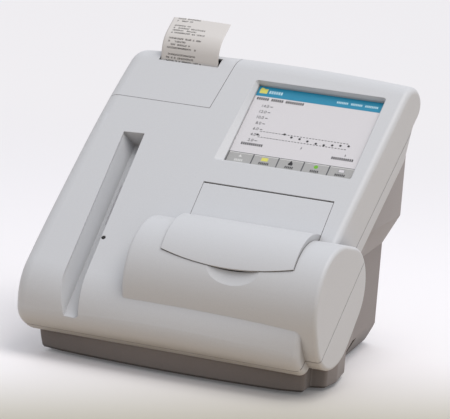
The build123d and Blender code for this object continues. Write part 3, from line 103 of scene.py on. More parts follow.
def start_material(name, colour, roughness, **sockets):
    """A material with its shader: the flat colour, roughness and other sockets are set on it."""
    material = bpy.data.materials.new(name)
    material.use_nodes = True
    shader = material.node_tree.nodes["Principled BSDF"]
    shader.inputs["Base Color"].default_value = linear(colour)
    shader.inputs["Roughness"].default_value = roughness
    for socket, value in sockets.items():
        shader.inputs[socket.replace("_", " ")].default_value = value
    return material, material.node_tree, shader


def deselect():
    """Leaves nothing selected."""
    bpy.ops.object.select_all(action="DESELECT")


BENCH_SIZE = 24.0
BACKDROP = linear("#f1eff2")
DIM_WAY = (0.85, -1.0, 0.0)
DIM_START = 0.0
DIM_END = 0.45
SWEEP_START = 0.45
SWEEP_END = 1.6
SWEEP_SHARE = 0.9
deselect()
bpy.ops.mesh.primitive_plane_add(size=BENCH_SIZE, location=(0, 0, 0))
bench = bpy.context.object
bench.name = "bench"
material, tree, shader = start_material("pale_laminate", "#f4f2f4", 0.6, Emission_Strength=0.08,
                                        Emission_Color=linear("#fffdff"))
place = add_node(tree, "ShaderNodeTexCoord")
nearness = add_node(tree, "ShaderNodeVectorMath", values={1: DIM_WAY},
                    links={0: (place, "Object")}, operation="DOT_PRODUCT")
painted_dimming = add_node(tree, "ShaderNodeMapRange", values={"From Min": DIM_START, "From Max": DIM_END},
                   links={"Value": (nearness, "Value")}, interpolation_type="SMOOTHSTEP")
# Painted shade: the laminate's colour darkens from #f7f5f7 to #9c977c towards the viewer and the right.
laminate = add_node(tree, "ShaderNodeMix", data_type="RGBA",
                    values={6: linear("#f7f5f7"), 7: linear("#9c977c")}, links={0: (painted_dimming, 0)})
tree.links.new(laminate.outputs[2], shader.inputs["Base Color"])
rays = add_node(tree, "ShaderNodeLightPath")
seen = add_node(tree, "ShaderNodeMath", links={0: (rays, "Is Camera Ray"), 1: (rays, "Is Glossy Ray")},
                operation="MAXIMUM")
reach = add_node(tree, "ShaderNodeVectorMath", links={0: (place, "Object")}, operation="LENGTH")
far = add_node(tree, "ShaderNodeMapRange",
               values={"From Min": SWEEP_START, "From Max": SWEEP_END, "To Max": SWEEP_SHARE},
               links={"Value": (reach, "Value")}, interpolation_type="SMOOTHSTEP")
sweep = add_node(tree, "ShaderNodeEmission", values={"Color": BACKDROP, "Strength": 1.0})
pale = add_node(tree, "ShaderNodeMixShader", links={0: (far, 0), 1: (shader, 0), 2: (sweep, 0)})
bounced = add_node(tree, "ShaderNodeBsdfDiffuse", values={"Color": linear("#c8b59d")})
choice = add_node(tree, "ShaderNodeMixShader", links={0: (seen, 0), 1: (bounced, 0), 2: (pale, 0)})
tree.links.new(choice.outputs[0], tree.nodes["Material Output"].inputs["Surface"])
bench.data.materials.append(material)

SKY_STRENGTH = 0.66
world = bpy.data.worlds.new("studio")
bpy.context.scene.world = world
world.use_nodes = True
tree = world.node_tree
tree.nodes.clear()
rays = add_node(tree, "ShaderNodeLightPath")
seen = add_node(tree, "ShaderNodeMath", links={0: (rays, "Is Camera Ray"), 1: (rays, "Is Glossy Ray")},
                operation="MAXIMUM")
seen = add_node(tree, "ShaderNodeMath", links={0: (seen, 0), 1: (rays, "Is Transmission Ray")},
                operation="MAXIMUM")
sky = add_node(tree, "ShaderNodeBackground", values={"Color": linear("#f1f4fb"), "Strength": SKY_STRENGTH})
backdrop = add_node(tree, "ShaderNodeBackground", values={"Color": BACKDROP, "Strength": 1.0})
choice = add_node(tree, "ShaderNodeMixShader", links={0: (seen, 0), 1: (sky, 0), 2: (backdrop, 0)})
add_node(tree, "ShaderNodeOutputWorld", links={"Surface": (choice, 0)})

SOFT_BOX_PLACE = Vector((0.8, -0.15, 2.3))
SOFT_BOX_AIM = Vector((0.0, 0.0, 0.12))
soft_box = bpy.data.lights.new("soft_box", "AREA")
soft_box.size = 1.5
soft_box.energy = 28.5
soft_box.color = linear("#fffaf6")[:3]
holder = bpy.data.objects.new("soft_box", soft_box)
holder.location = SOFT_BOX_PLACE
holder.rotation_mode = "QUATERNION"
holder.rotation_quaternion = (SOFT_BOX_AIM - SOFT_BOX_PLACE).to_track_quat("-Z", "Y")
bpy.context.scene.collection.objects.link(holder)


# The cool near-white shells, the cartridge door and the printer cover are moulded ABS
# from spark-eroded moulds, which leaves a fine matt grain and small rounds at each edge.
# Handling leaves faint cloudy patches in the gloss, about 70 mm apart.
GRAIN = 0.9 * MM
GRAIN_DEPTH = 0.04 * MM
EDGE_ROUND = 0.7 * MM
# Reach of the painted shade in hollows and seams.
SHADE_REACH = 14 * MM
CLOUDS_PER_METRE = 14.0


def moulded_abs(name, colour, worn, roughness, grain=GRAIN, depth=GRAIN_DEPTH, hollow_shade="#8f8c8a",
                shade_reach=SHADE_REACH):
    """ABS with a spark-eroded grain, drawn coarser than the real 0.2 mm so that it shows.
    Hollows and seams narrower than a given reach are darkened towards a given colour, as
    painted shade."""
    material, tree, shader = start_material(name, colour, roughness)
    place = add_node(tree, "ShaderNodeTexCoord")
    grains = add_node(tree, "ShaderNodeTexNoise",
                      values={"Scale": 1 / grain, "Detail": 3.0, "Roughness": 0.6},
                      links={"Vector": (place, "Object")})
    cloud = add_node(tree, "ShaderNodeTexNoise", values={"Scale": CLOUDS_PER_METRE, "Detail": 2.0},
                     links={"Vector": (place, "Object")})
    tone = add_node(tree, "ShaderNodeMapRange",
                    values={"To Min": roughness - 0.04, "To Max": roughness + 0.05},
                    links={"Value": (cloud, 0)})
    rounds = add_node(tree, "ShaderNodeBevel", values={"Radius": EDGE_ROUND}, samples=6)
    bump = add_node(tree, "ShaderNodeBump", values={"Strength": 0.2, "Distance": depth},
                    links={"Height": (grains, 0), "Normal": (rounds, 0)})
    speck = add_node(tree, "ShaderNodeMapRange", values={"From Min": 0.35, "From Max": 0.75, "To Max": 0.6},
                     links={"Value": (grains, 0)})
    shade = add_node(tree, "ShaderNodeMix", data_type="RGBA",
                     values={6: linear(colour), 7: linear(worn)}, links={0: (speck, 0)})
    # Painted shade: ambient occlusion darkens seams, gaps and hollows towards a darker colour.
    occlusion = add_node(tree, "ShaderNodeAmbientOcclusion", values={"Distance": shade_reach}, samples=8)
    unshaded_share = add_node(tree, "ShaderNodeMapRange", values={"From Min": 0.1, "From Max": 0.85},
                     links={"Value": (occlusion, "AO")})
    painted_hollow_shade = add_node(tree, "ShaderNodeMix", data_type="RGBA", values={6: linear(hollow_shade)},
                       links={0: (unshaded_share, 0), 7: (shade, 2)})
    tree.links.new(painted_hollow_shade.outputs[2], shader.inputs["Base Color"])
    tree.links.new(tone.outputs[0], shader.inputs["Roughness"])
    tree.links.new(bump.outputs[0], shader.inputs["Normal"])
    return material


def dress(material, *names):
    """Gives CAD nodes their material."""
    for name in names:
        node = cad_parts[name]
        node.data.materials.clear()
        node.data.materials.append(material)


white_abs = moulded_abs("white_moulded_abs", "#d0d2d5", "#c8cacd", 0.44)
dress(white_abs, "front_shell", "rear_shell", "cartridge_door", "printer_cover")


# The base, the rear housing and the filter drawer are the same ABS in warm greys; the
# base is painted a little darker, as painted shade under the overhang. A slightly coarser
# grain keeps them duller than the white shells.
GREY_GRAIN = 1.1 * MM
# Painted shade: a dark colour, reaching 30 mm, darkens the greys' hollows and the space under the overhang.
GREY_SHADE_REACH = 30 * MM
GREY_HOLLOW_SHADE = "#4a4643"
grey_abs = moulded_abs("grey_moulded_abs", "#a39e9e", "#969190", 0.52, grain=GREY_GRAIN,
                       hollow_shade=GREY_HOLLOW_SHADE, shade_reach=GREY_SHADE_REACH)
dress(grey_abs, "rear_housing", "filter_drawer")
# Painted shade: the base is a darker copy of the same grey ABS, for the shade under the overhang.
shaded_base_abs = moulded_abs("shaded_grey_moulded_abs", "#8b8380", "#807875", 0.52, grain=GREY_GRAIN,
                       hollow_shade=GREY_HOLLOW_SHADE, shade_reach=GREY_SHADE_REACH)
dress(shaded_base_abs, "base_tray")


# Inside, the cartridge bay, the printer bay and the roll's spindle are plain ABS in a
# light grey, from polished moulds: smoother, and a little glossier than the case.
POLISHED_DEPTH = 0.02 * MM
# The last colour is the painted shade in its hollows.
inner_abs = moulded_abs("inner_moulded_abs", "#9b9ea1", "#94979a", 0.38, depth=POLISHED_DEPTH,
                        hollow_shade="#6d6d6c")
dress(inner_abs, "cartridge_bay", "printer_bay", "roll_spindle")


# Black glass-filled nylon and PBT: the cartridge carrier, the reader's body, the fan,
# the speaker and the mains parts. The fibres leave faint pale flecks in the black.
FLECK = 1.4 * MM
# The last colour is the painted shade in its hollows.
black_nylon = moulded_abs("black_glass_filled_nylon", "#1b1c1e", "#2b2c2e", 0.46, grain=FLECK,
                          hollow_shade="#161617")
dress(black_nylon, "barcode_reader", "cartridge_carrier", "bay_heater", "speaker", "fan_frame", "fan_rotor",
      "power_inlet", "power_switch", "rocker_switch")


# The two parts that a user pushes inside, the cartridge release tab and the print head's
# lever, are self-coloured blue ABS with the gloss of a polished mould.
# The last colour is the painted shade in its hollows.
blue_abs = moulded_abs("blue_moulded_abs", "#2c5f95", "#3a6da3", 0.34, depth=POLISHED_DEPTH,
                       hollow_shade="#234a73")
dress(blue_abs, "release_tab", "head_lever")


# Shafts, pins, screws and motor cans are bright plated steel, turned or drawn: fine
# lines run round or along them and stretch the highlights.
LINE_GAP = 0.8 * MM
LINES_END_TO_END = 12.0


def plated_steel(name, colour, dark, roughness, along):
    """Steel with working marks drawn out along one axis, spaced coarser than real ones,
    a dozen of them end to end in a metre."""
    material, tree, shader = start_material(name, colour, roughness, Metallic=1.0)
    place = add_node(tree, "ShaderNodeTexCoord")
    stretch = [1 / LINE_GAP] * 3
    stretch["XYZ".index(along)] = LINES_END_TO_END
    drawn = add_node(tree, "ShaderNodeMapping", values={"Scale": stretch},
                     links={"Vector": (place, "Object")})
    marks = add_node(tree, "ShaderNodeTexNoise", values={"Scale": 1.0, "Detail": 2.0},
                     links={"Vector": (drawn, 0)})
    gloss = add_node(tree, "ShaderNodeMapRange",
                     values={"To Min": roughness - 0.08, "To Max": roughness + 0.12},
                     links={"Value": (marks, 0)})
    tint = add_node(tree, "ShaderNodeMix", data_type="RGBA",
                    values={6: linear(colour), 7: linear(dark)}, links={0: (marks, 0)})
    edges = add_node(tree, "ShaderNodeBevel", values={"Radius": 0.3 * MM}, samples=4)
    bump = add_node(tree, "ShaderNodeBump", values={"Strength": 0.2, "Distance": 0.01 * MM},
                    links={"Height": (marks, 0), "Normal": (edges, 0)})
    tree.links.new(tint.outputs[2], shader.inputs["Base Color"])
    tree.links.new(gloss.outputs[0], shader.inputs["Roughness"])
    tree.links.new(bump.outputs[0], shader.inputs["Normal"])
    return material


turned_steel = plated_steel("turned_steel", "#b4b5b8", "#95969a", 0.28, "X")
dress(turned_steel, "door_hinge_pins", "lid_pivot_pins", "carrier_shaft", "drive_motor", "drive_pinion",
      "source_lamp", "platen_shaft", "paper_motor", "paper_pinion", "case_screws")


# The chassis and the socket shells are folded zinc-plated sheet, with the cloudy
# crystal pattern that the plating leaves on flat sheet.
material, tree, shader = start_material("zinc_plated_sheet", "#a5a9ad", 0.36, Metallic=1.0)
SPANGLE = 7.0 * MM
place = add_node(tree, "ShaderNodeTexCoord")
crystals = add_node(tree, "ShaderNodeTexVoronoi", values={"Scale": 1 / SPANGLE},
                    links={"Vector": (place, "Object")})
plating = add_node(tree, "ShaderNodeMix", data_type="RGBA",
                   values={6: linear("#9ba0a4"), 7: linear("#b3b6ba")}, links={0: (crystals, "Color")})
haze = add_node(tree, "ShaderNodeMapRange", values={"To Min": 0.28, "To Max": 0.46},
                links={"Value": (crystals, "Color")})
tree.links.new(plating.outputs[2], shader.inputs["Base Color"])
tree.links.new(haze.outputs[0], shader.inputs["Roughness"])
dress(material, "chassis", "ethernet_port", "serial_port", "usb_port")


# The motor bracket, the optics block, the print head's heat sink and the power supply's
# case are aluminium, bead-blasted and anodised clear: an even satin grain with no lines.
material, tree, shader = start_material("anodised_aluminium", "#bcbec1", 0.42, Metallic=1.0)
BLAST_GRAIN = 0.6 * MM
place = add_node(tree, "ShaderNodeTexCoord")
blast = add_node(tree, "ShaderNodeTexNoise", values={"Scale": 1 / BLAST_GRAIN, "Detail": 2.0},
                 links={"Vector": (place, "Object")})
satin = add_node(tree, "ShaderNodeMapRange", values={"To Min": 0.34, "To Max": 0.5},
                 links={"Value": (blast, 0)})
bump = add_node(tree, "ShaderNodeBump", values={"Strength": 0.25, "Distance": 0.02 * MM},
                links={"Height": (blast, 0)})
tree.links.new(satin.outputs[0], shader.inputs["Roughness"])
tree.links.new(bump.outputs[0], shader.inputs["Normal"])
dress(material, "motor_bracket", "optics_block", "print_head", "power_supply")


# The feet and the platen are black rubber, moulded and ground: dull, with a fine dusty
# bloom in the hollows of the surface.
material, tree, shader = start_material("moulded_rubber", "#1f1f20", 0.85)
BLOOM = 1.2 * MM
place = add_node(tree, "ShaderNodeTexCoord")
bloom = add_node(tree, "ShaderNodeTexNoise", values={"Scale": 1 / BLOOM, "Detail": 4.0},
                 links={"Vector": (place, "Object")})
dusty = add_node(tree, "ShaderNodeMix", data_type="RGBA",
                 values={6: linear("#1a1a1b"), 7: linear("#343436")}, links={0: (bloom, 0)})
bump = add_node(tree, "ShaderNodeBump", values={"Strength": 0.4, "Distance": 0.05 * MM},
                links={"Height": (bloom, 0)})
tree.links.new(dusty.outputs[2], shader.inputs["Base Color"])
tree.links.new(bump.outputs[0], shader.inputs["Normal"])
dress(material, "rubber_feet", "platen_roller")


# The two large gears are acetal, cut from rod: milky, slippery and faintly translucent,
# with the cutter's rings still to be seen on their flat sides. A ring of the wave
# texture is about 0.16 wide at a scale of 1.
material, tree, shader = start_material("cut_acetal", "#e6e3da", 0.32, Subsurface_Weight=0.15,
                                        Subsurface_Scale=2 * MM)
CUTTER_RING = 1.5 * MM
RING_AT_SCALE_1 = 0.5 / 3.14
place = add_node(tree, "ShaderNodeTexCoord")
rings = add_node(tree, "ShaderNodeTexWave",
                 values={"Scale": RING_AT_SCALE_1 / CUTTER_RING, "Distortion": 0.6},
                 links={"Vector": (place, "Object")}, wave_type="RINGS", rings_direction="X")
sheen = add_node(tree, "ShaderNodeMapRange", values={"To Min": 0.26, "To Max": 0.4},
                 links={"Value": (rings, 0)})
tree.links.new(sheen.outputs[0], shader.inputs["Roughness"])
dress(material, "carrier_gear", "platen_gear")


# Each board is glass-epoxy with a green solder mask: the copper tracks under the mask
# show a lighter green, and bare pads are gilt.
material, tree, shader = start_material("solder_masked_board", "#1c6338", 0.3)
TRACK_STEP = 2.5 * MM
PAD_STEP = 7.5 * MM
place = add_node(tree, "ShaderNodeTexCoord")
cells = add_node(tree, "ShaderNodeTexVoronoi", values={"Scale": 1 / TRACK_STEP},
                 links={"Vector": (place, "Object")}, distance="MANHATTAN", feature="F1")
tracks = add_node(tree, "ShaderNodeMath", values={1: 0.42}, links={0: (cells, "Distance")},
                  operation="GREATER_THAN")
mask = add_node(tree, "ShaderNodeMix", data_type="RGBA",
                values={6: linear("#1a5a33"), 7: linear("#2f7d4c")}, links={0: (tracks, 0)})
pads = add_node(tree, "ShaderNodeTexVoronoi", values={"Scale": 1 / PAD_STEP},
                links={"Vector": (place, "Object")})
bare = add_node(tree, "ShaderNodeMath", values={1: 0.14}, links={0: (pads, "Distance")},
                operation="LESS_THAN")
gilt = add_node(tree, "ShaderNodeMix", data_type="RGBA", values={7: linear("#c9a55a")},
                links={0: (bare, 0), 6: (mask, 2)})
tree.links.new(gilt.outputs[2], shader.inputs["Base Color"])
tree.links.new(bare.outputs[0], shader.inputs["Metallic"])
dress(material, "main_board", "detector_board", "io_board")


# Clear parts: the touch panel is float glass with faint finger marks, about 30 mm apart,
# and the lens on the optics block is polished acrylic. The track's window is frosted,
# and the small lens beside it is smoked.
SMEARS_PER_METRE = 35.0


def clear_sheet(name, colour, roughness, ior, clarity=0.9):
    """A transparent or frosted material whose gloss is broken by faint smears."""
    material, tree, shader = start_material(name, colour, roughness, IOR=ior, Transmission_Weight=clarity)
    place = add_node(tree, "ShaderNodeTexCoord")
    smears = add_node(tree, "ShaderNodeTexNoise",
                      values={"Scale": SMEARS_PER_METRE, "Detail": 3.0, "Distortion": 1.2},
                      links={"Vector": (place, "Object")})
    film = add_node(tree, "ShaderNodeMapRange", values={"To Min": roughness, "To Max": roughness + 0.1},
                    links={"Value": (smears, 0)})
    tree.links.new(film.outputs[0], shader.inputs["Roughness"])
    return material


dress(clear_sheet("float_glass", "#dfe6e6", 0.04, 1.52), "touch_panel")
dress(clear_sheet("polished_acrylic", "#e9eef0", 0.03, 1.49), "collimator_lens")
dress(clear_sheet("frosted_acrylic", "#bdbcc0", 0.4, 1.49, clarity=0.1), "barcode_window")
dress(clear_sheet("smoked_acrylic", "#2c2c2f", 0.12, 1.49), "status_lens")


# The display module is folded from thin tinned steel round its glass, so that its rim
# and back show drawn lines.
display_rim = plated_steel("display_module_rim", "#77797c", "#66686b", 0.4, "X")
dress(display_rim, "lcd_module")


# The rating plate is metallised polyester film, left bare, with a faint brushed look
# that runs along its length: lines 50 mm long and 0.7 mm apart.
LINES_PER_METRE = (20.0, 1400.0, 1400.0)
material, tree, shader = start_material("satin_polyester_film", "#bfc1c2", 0.5, Metallic=0.4)
place = add_node(tree, "ShaderNodeTexCoord")
drawn = add_node(tree, "ShaderNodeMapping", values={"Scale": LINES_PER_METRE},
                 links={"Vector": (place, "Object")})
brushing = add_node(tree, "ShaderNodeTexNoise", values={"Scale": 1.0}, links={"Vector": (drawn, 0)})
satin = add_node(tree, "ShaderNodeMapRange", values={"To Min": 0.42, "To Max": 0.6},
                 links={"Value": (brushing, 0)})
tree.links.new(satin.outputs[0], shader.inputs["Roughness"])
dress(material, "rating_plate")


# The roll is thermal paper, wound on a card core. Its ends show the wound layers as
# fine rings, drawn 0.6 mm wide so that they show, where the real ones are 0.07 mm.
ROLL_CENTRE = (0.0, 63.5 * MM, 205.0 * MM)
LAYER = 0.6 * MM
PAPER_WHITE = "#dbd8d5"
material, tree, shader = start_material("wound_thermal_paper", "#d3d0cb", 0.75)
place = add_node(tree, "ShaderNodeTexCoord")
centred = add_node(tree, "ShaderNodeVectorMath", values={1: ROLL_CENTRE}, links={0: (place, "Object")},
                   operation="SUBTRACT")
layers = add_node(tree, "ShaderNodeTexWave", values={"Scale": RING_AT_SCALE_1 / LAYER, "Distortion": 0.3},
                  links={"Vector": (centred, 0)}, wave_type="RINGS", rings_direction="X")
wound = add_node(tree, "ShaderNodeMix", data_type="RGBA",
                 values={6: linear(PAPER_WHITE), 7: linear("#b9b5ae")}, links={0: (layers, 0)})
tree.links.new(wound.outputs[2], shader.inputs["Base Color"])
dress(material, "paper_roll")

material, tree, shader = start_material("kraft_card", "#a98a66", 0.85)
FIBRE = 1.5 * MM
place = add_node(tree, "ShaderNodeTexCoord")
fibres = add_node(tree, "ShaderNodeTexNoise", values={"Scale": 1 / FIBRE, "Detail": 5.0, "Distortion": 1.5},
                  links={"Vector": (place, "Object")})
kraft = add_node(tree, "ShaderNodeMix", data_type="RGBA",
                 values={6: linear("#9a7b57"), 7: linear("#b99a76")}, links={0: (fibres, 0)})
tree.links.new(kraft.outputs[2], shader.inputs["Base Color"])
dress(material, "roll_core")


# The printed strip is one length of the same thermal paper, straight up out of the
# slot and then curling back as it was wound, torn off along a toothed bar at its top.
STRIP_W = 57.0
STRIP_X = -78.5
STRIP_Y = 62.0
STRIP_LOW = 226.0
STRIP_BEND = 254.0
CURL_R = 24.0
CURL_END = math.radians(50.0)
STRIP_TIP = 17.0
STRIP_CUP = 0.7
STRIP_THICKNESS = 0.1
TOOTH = 0.5
CELLS_ACROSS = 38
CELLS_ALONG = 80
STRAIGHT = STRIP_BEND - STRIP_LOW
CURL_LEN = CURL_R * CURL_END
STRIP_LEN = STRAIGHT + CURL_LEN + STRIP_TIP

deselect()
bpy.ops.mesh.primitive_grid_add(x_subdivisions=CELLS_ACROSS, y_subdivisions=CELLS_ALONG, size=1,
                                calc_uvs=True)
strip = bpy.context.object
strip.name = "printed_strip"
top_edge = max(vertex.co.y for vertex in strip.data.vertices) - 0.001
for vertex in strip.data.vertices:
    across = vertex.co.x
    run = (vertex.co.y + 0.5) * STRIP_LEN
    if vertex.co.y > top_edge:
        run -= TOOTH * (round((across + 0.5) * CELLS_ACROSS) % 2)
    bend = min(max(run - STRAIGHT, 0.0), CURL_LEN) / CURL_R
    tip = max(run - STRAIGHT - CURL_LEN, 0.0)
    rise = min(run, STRAIGHT) + CURL_R * math.sin(bend) + tip * math.cos(bend)
    back = CURL_R * (1 - math.cos(bend)) + tip * math.sin(bend)
    cup = STRIP_CUP * (4 * across * across - 0.3) * (bend / CURL_END)
    vertex.co = Vector((STRIP_X + across * STRIP_W, STRIP_Y + back + cup * math.cos(bend),
                        STRIP_LOW + rise - cup * math.sin(bend))) * MM
bpy.ops.object.shade_smooth()
thickness = strip.modifiers.new("paper_thickness", "SOLIDIFY")
thickness.thickness = STRIP_THICKNESS * MM
thickness.offset = 0.0
bpy.ops.object.modifier_apply(modifier=thickness.name)

# The printing is laid out as cells of a sheet, one mark in a cell, on the strip's own
# UV map. A share of the cells is blank, in each block of five lines the last is left
# out, and lines end at random.
MARK_PITCH = 1.6
LINE_PITCH = 3.0
BLANK_SHARE = 0.22
LINE_FOOT = 0.3
LINE_HEAD = 0.85
BLOCK_LINES = 5.0
LINES_USED = 3.5
MARGIN_MARKS = 2.5
SHORTEST_LINE = 12.0
LONGEST_LINE = 25.0
material, tree, shader = start_material("printed_thermal_paper", PAPER_WHITE, 0.6)
place = add_node(tree, "ShaderNodeTexCoord")
sheet = add_node(tree, "ShaderNodeVectorMath",
                 values={1: (STRIP_W / MARK_PITCH, STRIP_LEN / LINE_PITCH, 0.0)},
                 links={0: (place, "UV")}, operation="MULTIPLY")
cell = add_node(tree, "ShaderNodeVectorMath", links={0: (sheet, 0)}, operation="FLOOR")
inside = add_node(tree, "ShaderNodeVectorMath", links={0: (sheet, 0)}, operation="FRACTION")
cell_xy = add_node(tree, "ShaderNodeSeparateXYZ", links={0: (cell, 0)})
inside_xy = add_node(tree, "ShaderNodeSeparateXYZ", links={0: (inside, 0)})
sign = add_node(tree, "ShaderNodeTexWhiteNoise", links={"Vector": (cell, 0)}, noise_dimensions="2D")
signed = add_node(tree, "ShaderNodeMath", values={1: BLANK_SHARE}, links={0: (sign, "Value")},
                  operation="GREATER_THAN")
fine = add_node(tree, "ShaderNodeVectorMath", values={1: (2.0, 3.0, 1.0)}, links={0: (sheet, 0)},
                operation="MULTIPLY")
stroke = add_node(tree, "ShaderNodeTexNoise", values={"Scale": 1.3, "Detail": 1.0},
                  links={"Vector": (fine, 0)}, noise_dimensions="2D")
inked = add_node(tree, "ShaderNodeMath", values={1: 0.47}, links={0: (stroke, 0)},
                 operation="GREATER_THAN")
above = add_node(tree, "ShaderNodeMath", values={1: LINE_FOOT}, links={0: (inside_xy, "Y")},
                 operation="GREATER_THAN")
below = add_node(tree, "ShaderNodeMath", values={1: LINE_HEAD}, links={0: (inside_xy, "Y")},
                 operation="LESS_THAN")
line_order = add_node(tree, "ShaderNodeMath", values={1: BLOCK_LINES}, links={0: (cell_xy, "Y")},
                      operation="MODULO")
line_used = add_node(tree, "ShaderNodeMath", values={1: LINES_USED}, links={0: (line_order, 0)},
                     operation="LESS_THAN")
line_random = add_node(tree, "ShaderNodeTexWhiteNoise", links={"W": (cell_xy, "Y")},
                       noise_dimensions="1D")
line_end = add_node(tree, "ShaderNodeMapRange", values={"To Min": SHORTEST_LINE, "To Max": LONGEST_LINE},
                    links={"Value": (line_random, "Value")})
in_line = add_node(tree, "ShaderNodeMath", links={0: (cell_xy, "X"), 1: (line_end, 0)},
                   operation="LESS_THAN")
margin = add_node(tree, "ShaderNodeMath", values={1: MARGIN_MARKS}, links={0: (cell_xy, "X")},
                  operation="GREATER_THAN")
ink = signed
for part in (inked, above, below, line_used, in_line, margin):
    ink = add_node(tree, "ShaderNodeMath", links={0: (ink, 0), 1: (part, 0)}, operation="MULTIPLY")
print_colour = add_node(tree, "ShaderNodeMix", data_type="RGBA",
                        values={6: linear(PAPER_WHITE), 7: linear("#4b4845")}, links={0: (ink, 0)})
tree.links.new(print_colour.outputs[2], shader.inputs["Base Color"])
strip.data.materials.append(material)
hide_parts("paper_strip")
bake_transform(strip)


# The lit display shows a results chart: a teal title bar, an axis of plain numbers, a
# row of dots between two dashed limits, and five grey buttons. Words are only dashes.
SCREEN_W = 120.6
SCREEN_H = 90.5
SCREEN_LEFT = -5.3
GLASS_TOP = -6.5
FACE_ANGLE = math.radians(42.5)
FACE_CENTRE = Vector((0.0, 19.7, 209.2)) * MM
FACE = Matrix.Translation(FACE_CENTRE) @ Matrix.Rotation(FACE_ANGLE, 4, "X")
PIXEL = 0.36
PIXEL_GAP = 0.05
GAP_SHADE = 0.82
FILM = 0.03
picture = []

# Heights of the picture's layers over the display's glass, and a small step between two.
GROUND = 0.12
PRINT = 0.2
MARK = 0.28
OVER = 0.04


def lit(name, colour):
    """A lit area of the display, with the fine grid of its 0.36 mm pixels."""
    material, tree, shader = start_material(name, colour, 0.3, Emission_Strength=0.12)
    place = add_node(tree, "ShaderNodeTexCoord")
    level = add_node(tree, "ShaderNodeMapping", values={"Rotation": (-FACE_ANGLE, 0.0, 0.0)},
                     links={"Vector": (place, "Object")})
    pixels = add_node(tree, "ShaderNodeTexBrick",
                      values={"Color1": linear(colour), "Color2": linear(colour),
                              "Mortar": [c * GAP_SHADE for c in linear(colour)[:3]] + [1.0],
                              "Scale": 1.0, "Mortar Size": PIXEL_GAP * MM,
                              "Brick Width": PIXEL * MM, "Row Height": PIXEL * MM},
                      links={"Vector": (level, 0)}, offset=0.0)
    tree.links.new(pixels.outputs["Color"], shader.inputs["Base Color"])
    tree.links.new(pixels.outputs["Color"], shader.inputs["Emission Color"])
    return material


def keep(patch, material):
    """Puts a patch's place and size into its mesh, and keeps it for the picture."""
    bpy.ops.object.transform_apply(location=True, rotation=True, scale=True)
    patch.data.materials.clear()
    patch.data.materials.append(material)
    picture.append(patch)


def area(left, right, top, bottom, level, material, count=1, step=0.0):
    """A rectangle of the picture, in millimetres from its upper left, or a row of them."""
    deselect()
    bpy.ops.mesh.primitive_plane_add(
        size=1, location=((left + right) / 2 * MM, -(top + bottom) / 2 * MM, level * MM))
    patch = bpy.context.object
    patch.scale = ((right - left) * MM, (bottom - top) * MM, 1)
    bpy.ops.object.transform_apply(location=True, rotation=False, scale=True)
    if count > 1:
        row = patch.modifiers.new("row", "ARRAY")
        row.count = count
        row.use_relative_offset = False
        row.use_constant_offset = True
        row.constant_offset_displace = (step * MM, 0, 0)
        bpy.ops.object.modifier_apply(modifier=row.name)
    keep(patch, material)


def number(digits, right, middle, height, level, material):
    """A number that ends at a place, made a mesh."""
    deselect()
    bpy.ops.object.text_add(location=(right * MM, -middle * MM, level * MM))
    label = bpy.context.object
    label.data.body = digits
    label.data.size = height * MM
    label.data.align_x = "RIGHT"
    label.data.align_y = "CENTER"
    bpy.ops.object.convert(target="MESH")
    keep(bpy.context.object, material)


def spot(x, y, radius, level, material, corners=12):
    """A round dot, or a triangle where it has three corners."""
    deselect()
    bpy.ops.mesh.primitive_circle_add(vertices=corners, radius=radius * MM, fill_type="NGON",
                                      location=(x * MM, -y * MM, level * MM))
    keep(bpy.context.object, material)


LETTER_W = 0.42
LETTER_STEP = 0.66


def word(left, top, height, letters, level, material):
    """A row of marks in place of a word, their width and step given by their height."""
    area(left, left + height * LETTER_W, top, top + height, level, material, letters, height * LETTER_STEP)


lit_ground = lit("lit_ground", "#d6d4d7")
lit_teal = lit("lit_teal", "#1f88ab")
lit_ink = lit("lit_ink", "#2b2b2e")
lit_soft_ink = lit("lit_soft_ink", "#8e8f92")
lit_button = lit("lit_button", "#a9a9a8")
lit_edge = lit("lit_edge", "#d8d8d6")
lit_shadow = lit("lit_shadow", "#55565a")
lit_sky = lit("lit_sky", "#bfe0ea")
lit_folder = lit("lit_folder", "#d9d66a")
lit_green = lit("lit_green", "#6fb52f")

# The title bar, with a folder and four words, and three words under it.
MARGIN = 0.1
TITLE_BAR = 11.5
area(MARGIN, SCREEN_W - MARGIN, MARGIN, SCREEN_H - MARGIN, GROUND, lit_ground)
area(MARGIN, SCREEN_W - MARGIN, MARGIN, TITLE_BAR, PRINT, lit_teal)
area(2.2, 9.6, 3.0, 8.2, MARK, lit_folder)
area(2.6, 5.4, 2.0, 3.0, MARK, lit_folder)
word(11.5, 4.2, 3.4, 6, MARK, lit_sky)
for left, letters in ((77.0, 7), (90.5, 7), (104.0, 8)):
    word(left, 5.2, 2.4, letters, MARK, lit_sky)
for left, letters in ((2.6, 6), (16.6, 6), (30.6, 9)):
    word(left, 12.9, 3.0, letters, PRINT, lit_ink)

# The axis with its numbers and ticks, the two limits, and the row of results, placed as
# shares of the display's width and height.
AXIS_TOP = 22.4
AXIS_STEP = 6.68
AXIS_VALUES = ("14.0", "12.0", "10.0", "8.0", "6.0", "4.0", "2.0")
VALUE_HEIGHT = 4.4
VALUE_RIGHT = 17.2
HALF_TICK = 0.35
LIMITS = (51.1, 57.7)
HALF_DASH = 0.3
DASHES = 29
DASH_STEP = 2.95
DOT_R = 1.15
RESULTS = ((0.154, 0.611), (0.356, 0.562), (0.418, 0.587), (0.484, 0.592), (0.55, 0.606), (0.62, 0.619),
           (0.684, 0.623), (0.747, 0.609), (0.809, 0.599), (0.871, 0.591))
for order, value in enumerate(AXIS_VALUES):
    height = AXIS_TOP + order * AXIS_STEP
    number(value, VALUE_RIGHT, height, VALUE_HEIGHT, PRINT, lit_ink)
    area(18.4, 20.8, height - HALF_TICK, height + HALF_TICK, PRINT, lit_ink)
